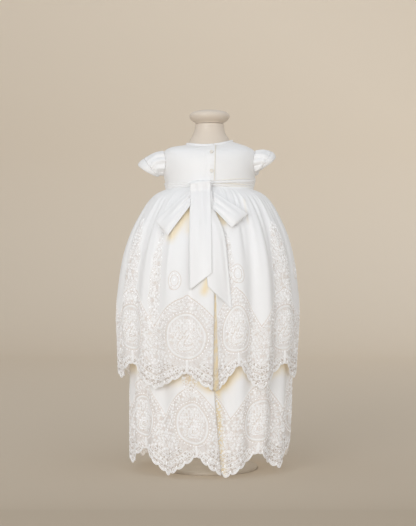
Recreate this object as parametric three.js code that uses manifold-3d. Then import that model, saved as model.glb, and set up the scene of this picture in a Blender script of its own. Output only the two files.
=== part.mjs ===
// A christening gown on an infant's dress form, seen from the gown's back.
//
// Millimetres, +Z up. The origin is the centre of the stand's underside, on the floor. -Y is the gown's
// back, with its buttons and bow, and -X is the wearer's left. Every cloth piece is a thin wall whose
// middle surface is worked out from the tables below, and pieces stay 0.3 mm apart at their seams.
//
// Round the body an angle of 0 degrees is the centre back, 90 is the +X side and 180 the centre front.

import * as THREE from 'three';
import { mergeVertices } from 'three/addons/utils/BufferGeometryUtils.js';
import Module from 'manifold-3d';

const wasm = await Module();
wasm.setup();

// Driving dimensions.
const seamGap = 0.3;
const satinThickness = 1.5; // bodice and sash
const skirtThickness = 1.2; // skirt layers, sleeves and ribbon
const waistZ = 500;
const formClearance = 1.85; // free space between the form and the bodice
const sideSeam = 90; // degrees
const backSeam = -3; // where the two back bodice panels meet
const seamHalfAngle = 0.15; // degrees left free on each side of a skirt seam
const bodiceSeamHalfAngle = 0.17;

// The bodice from the waist up to the neckline. Each row is one ring: its half width at the sides, its
// depth behind and in front of the axis, and the height of the ring at its side, back and front.
const bodiceRings = [
  { halfWidth: 76.0, sideZ: 500.2, backDepth: 59.0, backZ: 500.2, frontDepth: 61.0, frontZ: 500.2 },
  { halfWidth: 79.6, sideZ: 514.0, backDepth: 60.6, backZ: 514.0, frontDepth: 65.5, frontZ: 514.0 },
  { halfWidth: 82.6, sideZ: 530.0, backDepth: 62.5, backZ: 530.0, frontDepth: 67.0, frontZ: 530.0 },
  { halfWidth: 84.2, sideZ: 545.0, backDepth: 62.5, backZ: 545.0, frontDepth: 65.5, frontZ: 543.0 },
  { halfWidth: 84.0, sideZ: 558.0, backDepth: 59.5, backZ: 556.5, frontDepth: 61.0, frontZ: 553.0 },
  { halfWidth: 81.0, sideZ: 568.5, backDepth: 54.5, backZ: 564.5, frontDepth: 54.5, frontZ: 559.5 },
  { halfWidth: 70.0, sideZ: 575.5, backDepth: 48.5, backZ: 569.5, frontDepth: 47.5, frontZ: 563.0 },
  { halfWidth: 55.5, sideZ: 579.5, backDepth: 42.5, backZ: 572.8, frontDepth: 41.5, frontZ: 565.2 },
  { halfWidth: 42.4, sideZ: 582.5, backDepth: 37.5, backZ: 575.0, frontDepth: 37.0, frontZ: 566.5 },
];

// The skirt layers, from the waist down. centreX is how far a ring hangs to one side, and share is how
// much of the folds a layer takes.
const overskirtRings = [
  { z: 499.1, halfWidth: 78.0, halfDepth: 63.0, centreX: 0, share: 0 },
  { z: 495.5, halfWidth: 88.0, halfDepth: 68.5, centreX: 0, share: 0.02 },
  { z: 488.0, halfWidth: 99.5, halfDepth: 77.5, centreX: 0, share: 0.06 },
  { z: 475.0, halfWidth: 111.5, halfDepth: 88.5, centreX: 0, share: 0.15 },
  { z: 455.0, halfWidth: 124.0, halfDepth: 101.0, centreX: -0.3, share: 0.32 },
  { z: 425.0, halfWidth: 138.5, halfDepth: 116.0, centreX: -0.8, share: 0.58 },
  { z: 385.0, halfWidth: 151.0, halfDepth: 129.0, centreX: -1.4, share: 0.85 },
  { z: 335.0, halfWidth: 159.0, halfDepth: 137.0, centreX: -2, share: 1 },
  { z: 280.0, halfWidth: 163.0, halfDepth: 140.0, centreX: -2.5, share: 1 },
  { z: 225.0, halfWidth: 161.0, halfDepth: 139.0, centreX: -3, share: 1 },
  { z: 145.0, halfWidth: 157.0, halfDepth: 136.0, centreX: -4, share: 1 },
];
const lowerTierRings = [
  { z: 262.0, halfWidth: 135.6, halfDepth: 116.6, centreX: 0, share: 0.45 },
  { z: 238.0, halfWidth: 140.5, halfDepth: 120.0, centreX: 1, share: 0.62 },
  { z: 205.0, halfWidth: 144.0, halfDepth: 123.5, centreX: 2.5, share: 0.8 },
  { z: 120.0, halfWidth: 144.5, halfDepth: 124.5, centreX: 2.5, share: 0.85 },
  { z: 2.0, halfWidth: 141.0, halfDepth: 123.0, centreX: -0.5, share: 0.9 },
];
const underskirtRings = [
  { z: 499.1, halfWidth: 76.0, halfDepth: 61.0, centreX: 0, share: 0 },
  { z: 486.0, halfWidth: 91.0, halfDepth: 69.5, centreX: 0, share: 0.04 },
  { z: 455.0, halfWidth: 108.5, halfDepth: 88.0, centreX: 0, share: 0.2 },
  { z: 400.0, halfWidth: 122.0, halfDepth: 104.0, centreX: 0, share: 0.4 },
  { z: 335.0, halfWidth: 129.0, halfDepth: 110.0, centreX: 0, share: 0.45 },
  { z: 262.0, halfWidth: 131.2, halfDepth: 112.2, centreX: 0, share: 0.45 },
  { z: 46.0, halfWidth: 133.5, halfDepth: 114.0, centreX: 1, share: 0.45 },
];

// Folds that run down the skirt from the waist: ridges stand out, and troughs have a negative depth.
const folds = [
  { at: -168, spread: 8, depth: 5.5 },
  { at: -155, spread: 6, depth: -4.5 },
  { at: -141, spread: 8, depth: 6.0 },
  { at: -128, spread: 6, depth: -4.0 },
  { at: -116, spread: 8, depth: 4.5 },
  { at: -103, spread: 6, depth: -4.0 },
  { at: -80, spread: 6, depth: 2.5 },
  { at: -71, spread: 5, depth: -4.0 },
  { at: -61, spread: 6, depth: 5.5 },
  { at: -52, spread: 5, depth: -4.5 },
  { at: -43, spread: 5, depth: 3.5 },
  { at: -34, spread: 5, depth: -3.5 },
  { at: -22, spread: 7, depth: 6.5 },
  { at: -11, spread: 4, depth: -6.0 },
  { at: 0, spread: 6, depth: 6.5 },
  { at: 11, spread: 5, depth: -3.5 },
  { at: 20, spread: 5, depth: 3.5 },
  { at: 29, spread: 5, depth: -5.5 },
  { at: 38, spread: 5, depth: 7.5 },
  { at: 48, spread: 5, depth: -5.0 },
  { at: 58, spread: 6, depth: 5.0 },
  { at: 68, spread: 5, depth: -3.5 },
  { at: 78, spread: 6, depth: 1.5 },
  { at: 105, spread: 8, depth: -4.5 },
  { at: 122, spread: 8, depth: 6.0 },
  { at: 139, spread: 7, depth: -5.0 },
  { at: 156, spread: 8, depth: 5.5 },
  { at: 175, spread: 6, depth: -4.5 },
];

// The scalloped hems: the angle of each scallop's tip round the body, the height of a tip at the back and
// front, how much higher the tips are at the sides, and how deep the scallops are.
const overskirtHem = { tipZ: 149, sideRise: 21, depth: 35 };
const overskirtTips = [-117, -75, -35, 5]; // the back's left panel, and on round the front
const overskirtTipsRight = [-5, 35, 75, 117, 159, 201, 243, 285];
const lowerHem = { tipZ: 4.5, sideRise: 14, depth: 37 };
const lowerTips = [-120.6, -75, -30, 12, 57, 102.6, 148.2, 193.8, 239.4, 285];
const scallopPower = 1.25; // round at its tip, with a sharp notch between two scallops

// The overskirt opens at the back: its left edge hangs straight, and the gap widens down to the hem.
const overskirtSlit = { leftEdge: 3.5, hemGapAngle: 3.6 };
// The lower tier's left panel laps over the right one, which is tucked in by lapDepth near its edge.
// The two meet at the top of the tier.
const lowerLap = { meetAt: 0.5, leftEdgeHem: 8.5, rightEdgeHem: -3, lapDepth: 4.5, lapSpread: 9 };

const armhole = { centreY: 0, centreZ: 546.8, halfDepth: 24, halfHeight: 20.8, cutReach: 60 };

// Each sleeve from its armhole to the cuff's edge: its outer and its underarm end, and its half depth.
const leftSleeveRings = [
  { topReach: 86.6, topZ: 568.2, underReach: 86.4, underZ: 525.6, halfDepth: 25.0 },
  { topReach: 96.0, topZ: 568.6, underReach: 88.0, underZ: 525.4, halfDepth: 28.0 },
  { topReach: 106.5, topZ: 565.6, underReach: 89.4, underZ: 525.2, halfDepth: 29.5 },
  { topReach: 116.5, topZ: 559.0, underReach: 90.8, underZ: 525.2, halfDepth: 27.0 },
];
const leftCuffRings = [
  { topReach: 116.8, topZ: 558.6, underReach: 91.2, underZ: 524.9, halfDepth: 27.0 },
  { topReach: 123.6, topZ: 552.4, underReach: 92.4, underZ: 525.0, halfDepth: 25.6 },
  { topReach: 128.4, topZ: 544.4, underReach: 93.4, underZ: 525.4, halfDepth: 23.5 },
];
const rightSleeveRings = [
  { topReach: 86.6, topZ: 568.2, underReach: 86.4, underZ: 525.6, halfDepth: 25.0 },
  { topReach: 93.0, topZ: 573.0, underReach: 88.0, underZ: 527.6, halfDepth: 28.0 },
  { topReach: 101.5, topZ: 573.4, underReach: 89.2, underZ: 529.8, halfDepth: 29.5 },
  { topReach: 109.5, topZ: 569.6, underReach: 90.2, underZ: 532.2, halfDepth: 27.0 },
];
const rightCuffRings = [
  { topReach: 109.9, topZ: 569.3, underReach: 90.6, underZ: 532.2, halfDepth: 27.0 },
  { topReach: 115.2, topZ: 565.2, underReach: 91.8, underZ: 533.4, halfDepth: 25.6 },
  { topReach: 118.8, topZ: 558.4, underReach: 93.0, underZ: 535.0, halfDepth: 23.5 },
];

const binding = { height: 4.6, lean: 1.6, lapAt: 10 };
const placket = { leftX: -1, rightXTop: 11.5, rightXBottom: 9, lowZ: 511.5, highZ: 574.0 };
const button = { radius: 3.3, thickness: 2.4, rim: 0.6, x: 3.6 };
const buttonHeights = { button_upper: 561.5, button_lower: 529.7 };

// The sash round the waist. Its upper edge is pulled down to the knot at the back.
const sash = { lowZ: 500.6, highZ: 521, knotDip: 12, knotAt: -8, knotSpread: 55, leftDip: 8 };
const knot = { x: -16, y: -70.6, z: 504.6, halfWidth: 19.5, halfDepth: 7.2, halfHeight: 7.0 };

// The two hanging ends of the sash, as their middle line, and the slanting cut at the lower end.
const ribbonWidth = 38;
const tailLift = { lowZ: 455, highZ: 495, depth: 4 }; // over the skirt's shoulder, below the waist
const leftTail = {
  clearance: 5.2,
  overKnot: 78.6,
  topZ: 512,
  line: [{ z: 512, x: -16 }, { z: 430, x: -15.5 }, { z: 320, x: -14.5 }],
  cutLeftZ: 322,
  cutRightZ: 351,
};
const rightTail = {
  clearance: 1.7,
  overKnot: 0,
  topZ: 494.5,
  line: [
    { z: 494.5, x: -13 },
    { z: 460, x: -9.5 },
    { z: 419, x: 6 },
    { z: 362, x: 12.5 },
    { z: 290, x: 19 },
  ],
  cutLeftZ: 329,
  cutRightZ: 289,
};

// The bow's loops as seen from behind: the corners at the knot and at the folded end, and how far the
// loop stands open.
const leftLoop = {
  rootTop: { x: -37.5, z: 496.0 }, rootLow: { x: -37.5, z: 467.0 },
  endTop: { x: -93.5, z: 441.0 }, endLow: { x: -71.5, z: 415.0 },
  clearance: 2.2, open: 12,
};
const rightLoop = {
  rootTop: { x: 6.5, z: 491.5 }, rootLow: { x: 6.5, z: 461.0 },
  endTop: { x: 66.0, z: 453.0 }, endLow: { x: 38.0, z: 428.0 },
  clearance: 5.0, open: 14,
};

// The dress form below the waist and above the neckline, as rings like the bodice's.
const formHipRings = [
  { halfWidth: 44.0, sideZ: 352.0, backDepth: 34.0, backZ: 352.0, frontDepth: 36.0, frontZ: 352.0 },
  { halfWidth: 62.0, sideZ: 358.0, backDepth: 48.0, backZ: 358.0, frontDepth: 52.0, frontZ: 358.0 },
  { halfWidth: 74.0, sideZ: 378.0, backDepth: 56.0, backZ: 378.0, frontDepth: 62.0, frontZ: 378.0 },
  { halfWidth: 79.0, sideZ: 410.0, backDepth: 58.5, backZ: 410.0, frontDepth: 67.0, frontZ: 410.0 },
  { halfWidth: 78.0, sideZ: 445.0, backDepth: 56.5, backZ: 445.0, frontDepth: 67.0, frontZ: 445.0 },
  { halfWidth: 74.5, sideZ: 478.0, backDepth: 55.0, backZ: 478.0, frontDepth: 62.5, frontZ: 478.0 },
];
const formNeckRings = [
  { halfWidth: 37.6, sideZ: 584.5, backDepth: 33.2, backZ: 578.0, frontDepth: 32.4, frontZ: 571.0 },
  { halfWidth: 35.0, sideZ: 591.0, backDepth: 30.6, backZ: 587.0, frontDepth: 30.2, frontZ: 583.0 },
  { halfWidth: 30.5, sideZ: 598.0, backDepth: 27.8, backZ: 596.0, frontDepth: 27.6, frontZ: 594.0 },
  { halfWidth: 27.4, sideZ: 605.5, backDepth: 25.9, backZ: 605.0, frontDepth: 25.8, frontZ: 604.0 },
  { halfWidth: 26.0, sideZ: 617.0, backDepth: 25.0, backZ: 617.0, frontDepth: 25.0, frontZ: 617.0 },
  { halfWidth: 25.0, sideZ: 618.0, backDepth: 24.0, backZ: 618.0, frontDepth: 24.0, frontZ: 618.0 },
];
const neckCapProfile = [
  { r: 0, z: 618.3 }, { r: 21, z: 618.3 }, { r: 21, z: 620.0 }, { r: 25.4, z: 620.0 },
  { r: 31.0, z: 623.6 }, { r: 35.6, z: 628.6 }, { r: 36.4, z: 632.2 }, { r: 34.6, z: 636.0 },
  { r: 28.0, z: 639.6 }, { r: 15.0, z: 642.2 }, { r: 0, z: 643.0 },
];
const base = { radius: 86, thickness: 5, edge: 1.5, bossRadius: 13, bossHeight: 16 };
const pole = { radius: 8, lowZ: 16.3, highZ: 351.7 };

const satin = new THREE.MeshStandardMaterial({ color: 0xf1f1f3, roughness: 0.45, metalness: 0 });
const tulle = new THREE.MeshStandardMaterial({ color: 0xf2f0ee, roughness: 0.8, metalness: 0 });
const lace = new THREE.MeshStandardMaterial({ color: 0xe6ddd6, roughness: 0.75, metalness: 0 });
const pearl = new THREE.MeshStandardMaterial({ color: 0xefeae0, roughness: 0.2, metalness: 0 });
const formSkin = new THREE.MeshStandardMaterial({ color: 0xd9cdbd, roughness: 0.5, metalness: 0 });
const standPaint = new THREE.MeshStandardMaterial({ color: 0xcfc5b6, roughness: 0.4, metalness: 0.2 });

const radians = (degrees) => (degrees * Math.PI) / 180;
const mix = (a, b, t) => a + (b - a) * t;
const clamp01 = (t) => Math.min(1, Math.max(0, t));
const smooth = (t) => clamp01(t) ** 2 * (3 - 2 * clamp01(t));
const wrapped = (degrees) => ((((degrees + 180) % 360) + 360) % 360) - 180;
const bump = (distance, spread) => Math.exp(-((distance / spread) ** 2));

// A smooth curve through one column of a table, read at a place. places holds each row's place.
function through(places, table, key, at) {
  const last = places.length - 1;
  const rising = places[last] > places[0];
  let i = 0;
  while (i < last - 1 && (rising ? at > places[i + 1] : at < places[i + 1])) i += 1;
  const slope = (k) => {
    const low = Math.max(0, k - 1);
    const high = Math.min(last, k + 1);
    return (table[high][key] - table[low][key]) / (places[high] - places[low]);
  };
  const span = places[i + 1] - places[i];
  const t = clamp01((at - places[i]) / span);
  const t2 = t * t;
  const t3 = t2 * t;
  return (
    (2 * t3 - 3 * t2 + 1) * table[i][key] +
    (t3 - 2 * t2 + t) * span * slope(i) +
    (3 * t2 - 2 * t3) * table[i + 1][key] +
    (t3 - t2) * span * slope(i + 1)
  );
}

// A point on a ring of the bodice or the form.
function ringPoint(ring, angle) {
  const s = Math.sin(radians(angle));
  const c = Math.cos(radians(angle));
  const depth = c > 0 ? ring.backDepth : ring.frontDepth;
  const z = mix(ring.sideZ, c > 0 ? ring.backZ : ring.frontZ, c * c);
  return new THREE.Vector3(ring.halfWidth * s, -depth * c, z);
}

// The bodice's middle surface: height 0 is the waist and bodiceRings.length - 1 the neckline.
const ringKeys = Object.keys(bodiceRings[0]);
const ringHeights = bodiceRings.map((_, i) => i);
function bodiceSurface(angle, height) {
  const ring = {};
  for (const key of ringKeys) ring[key] = through(ringHeights, bodiceRings, key, height);
  return ringPoint(ring, angle);
}

// The height on the bodice's surface at which it reaches z, by halving.
function bodiceHeightAt(angle, z) {
  let low = 0;
  let high = bodiceRings.length - 1;
  for (let i = 0; i < 24; i += 1) {
    const middle = (low + high) / 2;
    if (bodiceSurface(angle, middle).z < z) low = middle;
    else high = middle;
  }
  return (low + high) / 2;
}

// A surface moved out along its own normal.
function movedOut(surface, distance) {
  const step = 0.05;
  return (u, v) => {
    const along = surface(u + step, v).sub(surface(u - step, v));
    const up = surface(u, v + step).sub(surface(u, v - step));
    return surface(u, v).addScaledVector(along.cross(up).normalize(), distance);
  };
}

function foldAt(angle) {
  return folds.reduce((sum, fold) => sum + fold.depth * bump(wrapped(angle - fold.at), fold.spread), 0);
}

// A skirt layer's middle surface, from its rings and the folds.
function skirtSurface(rings) {
  const value = (key, z) => through(rings.map((row) => row.z), rings, key, z);
  return (angle, z) => {
    const fold = foldAt(angle) * value('share', z);
    const x = value('centreX', z) + (value('halfWidth', z) + fold) * Math.sin(radians(angle));
    const y = -(value('halfDepth', z) + fold) * Math.cos(radians(angle));
    return new THREE.Vector3(x, y, z);
  };
}

function hemZ(hem, tips, angle) {
  const next = tips.findIndex((tip) => tip > angle);
  const halfWidth = (tips[next] - tips[next - 1]) / 2;
  const fromTip = Math.max(0, 1 - Math.abs(angle - tips[next] + halfWidth) / halfWidth);
  return hem.tipZ + hem.sideRise * Math.sin(radians(angle)) ** 2 + hem.depth * fromTip ** scallopPower;
}

// A wall of even thickness about a grid of points, grid[column][row], with the columns running round
// the body and the rows upwards. A closed wall joins its last column to its first.
function wall(grid, thickness, closed = false) {
  const columns = grid.length;
  const rows = grid[0].length;
  const at = (i, j) => grid[closed ? (i + columns) % columns : Math.min(columns - 1, Math.max(0, i))][
    Math.min(rows - 1, Math.max(0, j))
  ];
  const positions = [];
  for (const side of [1, -1]) {
    for (let i = 0; i < columns; i += 1) {
      for (let j = 0; j < rows; j += 1) {
        const along = at(i + 1, j).clone().sub(at(i - 1, j));
        const up = at(i, j + 1).clone().sub(at(i, j - 1));
        const p = at(i, j).clone().addScaledVector(along.cross(up).normalize(), (side * thickness) / 2);
        positions.push(p.x, p.y, p.z);
      }
    }
  }
  const outer = (i, j) => (i % columns) * rows + j;
  const inner = (i, j) => columns * rows + outer(i, j);
  const index = [];
  const quad = (a, b, c, d) => index.push(a, b, c, a, c, d);
  const spans = closed ? columns : columns - 1;
  for (let i = 0; i < spans; i += 1) {
    for (let j = 0; j < rows - 1; j += 1) {
      quad(outer(i, j), outer(i + 1, j), outer(i + 1, j + 1), outer(i, j + 1));
      quad(inner(i, j), inner(i, j + 1), inner(i + 1, j + 1), inner(i + 1, j));
    }
    quad(inner(i, 0), inner(i + 1, 0), outer(i + 1, 0), outer(i, 0));
    quad(outer(i, rows - 1), outer(i + 1, rows - 1), inner(i + 1, rows - 1), inner(i, rows - 1));
  }
  if (!closed) {
    for (let j = 0; j < rows - 1; j += 1) {
      quad(inner(0, j), outer(0, j), outer(0, j + 1), inner(0, j + 1));
      const last = columns - 1;
      quad(outer(last, j), inner(last, j), inner(last, j + 1), outer(last, j + 1));
    }
  }
  return new THREE.BufferGeometry()
    .setAttribute('position', new THREE.Float32BufferAttribute(positions, 3))
    .setIndex(index);
}

// A solid through closed rings of points, with a flat fan over each end.
function loft(rings) {
  const count = rings[0].length;
  const centreOf = (ring) => ring.reduce((sum, p) => sum.add(p), new THREE.Vector3()).divideScalar(count);
  const points = [...rings.flat(), centreOf(rings[0]), centreOf(rings[rings.length - 1])];
  const lowCentre = rings.length * count;
  const index = [];
  for (let i = 0; i < count; i += 1) {
    const next = (i + 1) % count;
    for (let k = 0; k < rings.length - 1; k += 1) {
      const [a, b, c, d] = [k * count + i, k * count + next, (k + 1) * count + next, (k + 1) * count + i];
      index.push(a, b, c, a, c, d);
    }
    const top = (rings.length - 1) * count;
    index.push(lowCentre, next, i, lowCentre + 1, top + i, top + next);
  }
  return new THREE.BufferGeometry()
    .setAttribute('position', new THREE.Float32BufferAttribute(points.flatMap((p) => p.toArray()), 3))
    .setIndex(index);
}

function grid(columns, rows, point) {
  return columns.map((u, i) => rows.map((v, j) => point(u, v, i, j)));
}

const steps = (from, to, count) => Array.from({ length: count + 1 }, (_, i) => mix(from, to, i / count));

// The angles of a panel's columns: both edges, and between them each marked angle and even steps from it
// to the next.
function columnAngles(from, to, marks, stepCount) {
  const angles = marks.slice(1).flatMap((mark, i) => steps(marks[i], mark, stepCount).slice(0, stepCount));
  const apart = (marks[1] - marks[0]) / stepCount / 3;
  return [from, ...angles.filter((angle) => angle > from + apart && angle < to - apart), to];
}

const group = new THREE.Group();
function add(name, geometry, material) {
  const mesh = new THREE.Mesh(geometry, material);
  mesh.name = name;
  group.add(mesh);
  return mesh;
}

// A geometry as a solid for cutting, and back.
function solidOf(geometry) {
  const bare = geometry.clone();
  bare.deleteAttribute('normal');
  bare.deleteAttribute('uv');
  const merged = mergeVertices(bare, 1e-4);
  return new wasm.Manifold(new wasm.Mesh({
    numProp: 3,
    vertProperties: merged.attributes.position.array,
    triVerts: new Uint32Array(merged.index.array),
  }));
}
function geometryOf(solid) {
  const mesh = solid.getMesh();
  return new THREE.BufferGeometry()
    .setAttribute('position', new THREE.BufferAttribute(new Float32Array(mesh.vertProperties), 3))
    .setIndex(new THREE.BufferAttribute(new Uint32Array(mesh.triVerts), 1));
}

// The oval cutter that opens one armhole: side is -1 for the wearer's left and 1 for the right.
function armholeCutter(side) {
  const oval = new THREE.Shape().absellipse(0, 0, armhole.halfDepth, armhole.halfHeight, 0, Math.PI * 2);
  const cutter = new THREE.ExtrudeGeometry(oval, { depth: 60, bevelEnabled: false, curveSegments: 10 });
  cutter.rotateY(Math.PI / 2);
  cutter.rotateX(Math.PI / 2);
  cutter.translate(side > 0 ? armhole.cutReach : -armhole.cutReach - 60, armhole.centreY, armhole.centreZ);
  return solidOf(cutter);
}

function buildBodice() {
  const top = bodiceRings.length - 1;
  const rows = [0, 1, 2, 3, 4, 5, 6, 7, top];
  const panels = {
    bodice_front: [sideSeam + bodiceSeamHalfAngle, 360 - sideSeam - bodiceSeamHalfAngle, 18],
    bodice_back_left: [-sideSeam + bodiceSeamHalfAngle, backSeam - bodiceSeamHalfAngle, 9],
    bodice_back_right: [backSeam + bodiceSeamHalfAngle, sideSeam - bodiceSeamHalfAngle, 9],
  };
  for (const [name, [from, to, count]] of Object.entries(panels)) {
    const panel = wall(grid(steps(from, to, count), rows, bodiceSurface), satinThickness);
    const cut = solidOf(panel).subtract(armholeCutter(-1)).subtract(armholeCutter(1));
    add(name, geometryOf(cut), satin);
  }
}

// The lapped strip down the centre back that carries the buttons.
const placketSurface = movedOut(bodiceSurface, satinThickness / 2 + seamGap + skirtThickness / 2);
const angleAtX = (x, height) => (Math.asin(x / bodiceSurface(90, height).x) * 180) / Math.PI;
function buildPlacket() {
  const low = bodiceHeightAt(0, placket.lowZ);
  const high = bodiceHeightAt(0, placket.highZ);
  const between = ringHeights.filter((height) => height > low + 0.3 && height < high - 0.3);
  const heights = [low, ...between, high];
  const points = grid(steps(0, 1, 2), heights, (across, height) => {
    const right = mix(placket.rightXBottom, placket.rightXTop, (height - low) / (high - low));
    return placketSurface(angleAtX(mix(placket.leftX, right, across), height), height);
  });
  add('button_placket', wall(points, skirtThickness), satin);
}

function buildButtons() {
  const { radius, thickness, rim } = button;
  const profile = [
    [0, 0], [radius - rim, 0], [radius, rim], [radius, thickness - rim],
    [radius - rim, thickness], [radius * 0.55, thickness * 0.8], [0, thickness * 0.72],
  ].map(([r, y]) => new THREE.Vector2(r, y));
  for (const [name, z] of Object.entries(buttonHeights)) {
    const height = bodiceHeightAt(0, z);
    const angle = angleAtX(button.x, height);
    const foot = movedOut(placketSurface, skirtThickness / 2 + seamGap)(angle, height);
    const out = foot.clone().sub(placketSurface(angle, height)).normalize();
    const mesh = add(name, new THREE.LatheGeometry(profile, 14), pearl);
    mesh.position.copy(foot);
    mesh.quaternion.setFromUnitVectors(new THREE.Vector3(0, 1, 0), out);
  }
}

// The narrow binding that stands round the neckline and opens at the lap of the placket.
function buildBinding() {
  const neckline = bodiceRings[bodiceRings.length - 1];
  const spot = (angle, rise) => {
    const p = ringPoint(neckline, angle);
    const shrink = 1 - (binding.lean * rise) / neckline.halfWidth;
    const foot = satinThickness / 2 + seamGap;
    return new THREE.Vector3(p.x * shrink, p.y * shrink, p.z + foot + binding.height * rise);
  };
  const angles = steps(binding.lapAt + 0.5, binding.lapAt + 359.5, 32);
  add('neck_binding', wall(grid(angles, [0, 1], spot), skirtThickness), satin);
}

// How far out the bodice's middle surface lies at the side, for a sleeve that starts on it.
function bodiceReach(y, z) {
  const height = bodiceHeightAt(90, Math.min(z, 568));
  const depth = Math.abs(bodiceSurface(y < 0 ? 0 : 180, height).y);
  return bodiceSurface(90, height).x * Math.sqrt(Math.max(0, 1 - (y / depth) ** 2));
}

// A sleeve or cuff through its rings. side is -1 for the wearer's left and 1 for the right. The first
// ring of a sleeve that starts on the bodice follows the bodice's surface.
function sleeveWall(rings, side, onBodice) {
  const around = 20;
  const columns = steps(0, 360 - 360 / around, around - 1).map((a) => (side > 0 ? a : -a));
  const point = (angle, ring) => {
    const { topReach, topZ, underReach, underZ, halfDepth } = rings[ring];
    const c = Math.cos(radians(angle));
    const share = (1 + c) / 2;
    const y = -halfDepth * Math.sin(radians(angle));
    const z = mix(underZ, topZ, share);
    let reach = mix(underReach, topReach, share);
    const onSurface = bodiceReach(y, z) + satinThickness / 2 + seamGap + skirtThickness / 2;
    if (onBodice && ring === 0) reach = onSurface + 0.3;
    return new THREE.Vector3(side * reach, y, z);
  };
  return wall(grid(columns, rings.map((_, i) => i), point), skirtThickness, true);
}

function buildSleeves() {
  add('sleeve_left', sleeveWall(leftSleeveRings, -1, true), satin);
  add('sleeve_right', sleeveWall(rightSleeveRings, 1, true), satin);
  add('cuff_left', sleeveWall(leftCuffRings, -1, false), satin);
  add('cuff_right', sleeveWall(rightCuffRings, 1, false), satin);
}

function buildSash() {
  const surface = movedOut(bodiceSurface, satinThickness + 2 * seamGap);
  const upper = (angle) => {
    const dip = sash.knotDip * bump(wrapped(angle - sash.knotAt), sash.knotSpread);
    return sash.highZ - dip - sash.leftDip * bump(wrapped(angle + sideSeam), sash.knotSpread);
  };
  const angles = steps(-180, 180 - 360 / 40, 39);
  const points = grid(angles, [0, 0.5, 1], (angle, share) => {
    const z = mix(sash.lowZ, upper(angle), share);
    return surface(angle, Math.max(0.051, bodiceHeightAt(angle, z)));
  });
  add('sash_band', wall(points, satinThickness, true), satin);

  const ball = new THREE.SphereGeometry(1, 18, 10);
  ball.scale(knot.halfWidth, knot.halfDepth, knot.halfHeight);
  add('sash_knot', ball, satin).position.set(knot.x, knot.y, knot.z);
}

const overskirt = skirtSurface(overskirtRings);

// How far behind the axis the overskirt's outer face lies at a place seen from behind.
function skirtBack(x, z) {
  const level = Math.min(z, overskirtRings[0].z);
  const value = (key) => through(overskirtRings.map((row) => row.z), overskirtRings, key, level);
  let angle = 0;
  for (let i = 0; i < 6; i += 1) {
    const width = value('halfWidth') + foldAt(angle) * value('share');
    angle = (Math.asin(Math.max(-1, Math.min(1, (x - value('centreX')) / width))) * 180) / Math.PI;
  }
  return -overskirt(angle, level).y + skirtThickness / 2;
}

function buildTail(name, tail) {
  const lowest = Math.min(tail.cutLeftZ, tail.cutRightZ);
  const points = grid([-0.5, -0.25, 0, 0.25, 0.5], steps(0, 1, 12), (across, up) => {
    const cut = mix(tail.cutLeftZ, tail.cutRightZ, across + 0.5);
    const z = mix(cut, tail.topZ, up);
    const middle = through(tail.line.map((row) => row.z), tail.line, 'x', Math.max(z, lowest));
    const x = middle + across * ribbonWidth;
    const lift = tailLift.depth * smooth((z - tailLift.lowZ) / (tailLift.highZ - tailLift.lowZ));
    const out = Math.max(tail.overKnot, skirtBack(x, z) + tail.clearance + lift);
    return new THREE.Vector3(x, -out, z);
  });
  add(name, wall(points, skirtThickness), satin);
}

function buildLoop(name, loop) {
  const points = grid(steps(-1, 1, 14), [0, 1 / 3, 2 / 3, 1], (s, w) => {
    const out = 1 - s * s;
    const x = mix(mix(loop.rootLow.x, loop.rootTop.x, w), mix(loop.endLow.x, loop.endTop.x, w), out);
    const z = mix(mix(loop.rootLow.z, loop.rootTop.z, w), mix(loop.endLow.z, loop.endTop.z, w), out);
    const lift = loop.open * (0.5 + (s * mix(0.14, 1.05, out)) / 2);
    return new THREE.Vector3(x, -(skirtBack(x, z) + loop.clearance + lift), z);
  });
  add(name, wall(points, skirtThickness), satin);
}

// One panel of a skirt layer, from its hem up to the layer's first ring. Each edge is an angle at the top
// and one at the hem, bend says how the first turns into the second, and tuck moves a point in where the
// panel passes under another.
function skirtPanel({ rings, edges, lowZ, levels, marks, stepCount, bend = 1, tuck = () => 0 }) {
  const surface = skirtSurface(rings);
  const angles = columnAngles(edges.fromHem, edges.toHem, marks, stepCount);
  const points = grid(angles, levels, (angle, level) => {
    const share = (angle - edges.fromHem) / (edges.toHem - edges.fromHem);
    const shift = mix(edges.fromTop - edges.fromHem, edges.toTop - edges.toHem, share);
    const turned = angle + shift * (1 - (1 - level) ** bend);
    const inward = tuck(turned, level);
    const [s, c] = [Math.sin(radians(turned)), Math.cos(radians(turned))];
    const p = surface(turned, mix(lowZ(angle), rings[0].z, level));
    return p.add(new THREE.Vector3(-inward * s, inward * c, 0));
  });
  return wall(points, skirtThickness);
}

const gap = seamHalfAngle;
const straightEdges = (from, to) => ({ fromTop: from, fromHem: from, toTop: to, toHem: to });
const frontEdges = straightEdges(sideSeam + gap, 360 - sideSeam - gap);

function buildOverskirt() {
  const levels = [0, 0.1, 0.22, 0.36, 0.52, 0.68, 0.8, 0.89, 0.95, 0.98, 1];
  const { leftEdge, hemGapAngle } = overskirtSlit;
  const rightEdges = {
    ...straightEdges(leftEdge + 2 * gap, sideSeam - gap),
    fromHem: leftEdge + hemGapAngle,
  };
  const panels = {
    overskirt_front: [frontEdges, overskirtTipsRight],
    overskirt_back_left: [straightEdges(-sideSeam + gap, leftEdge), overskirtTips],
    overskirt_back_right: [rightEdges, overskirtTipsRight],
  };
  for (const [name, [edges, marks]] of Object.entries(panels)) {
    const lowZ = (angle) => hemZ(overskirtHem, marks, angle);
    add(name, skirtPanel({ rings: overskirtRings, edges, lowZ, levels, marks, stepCount: 8 }), tulle);
  }
}

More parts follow.
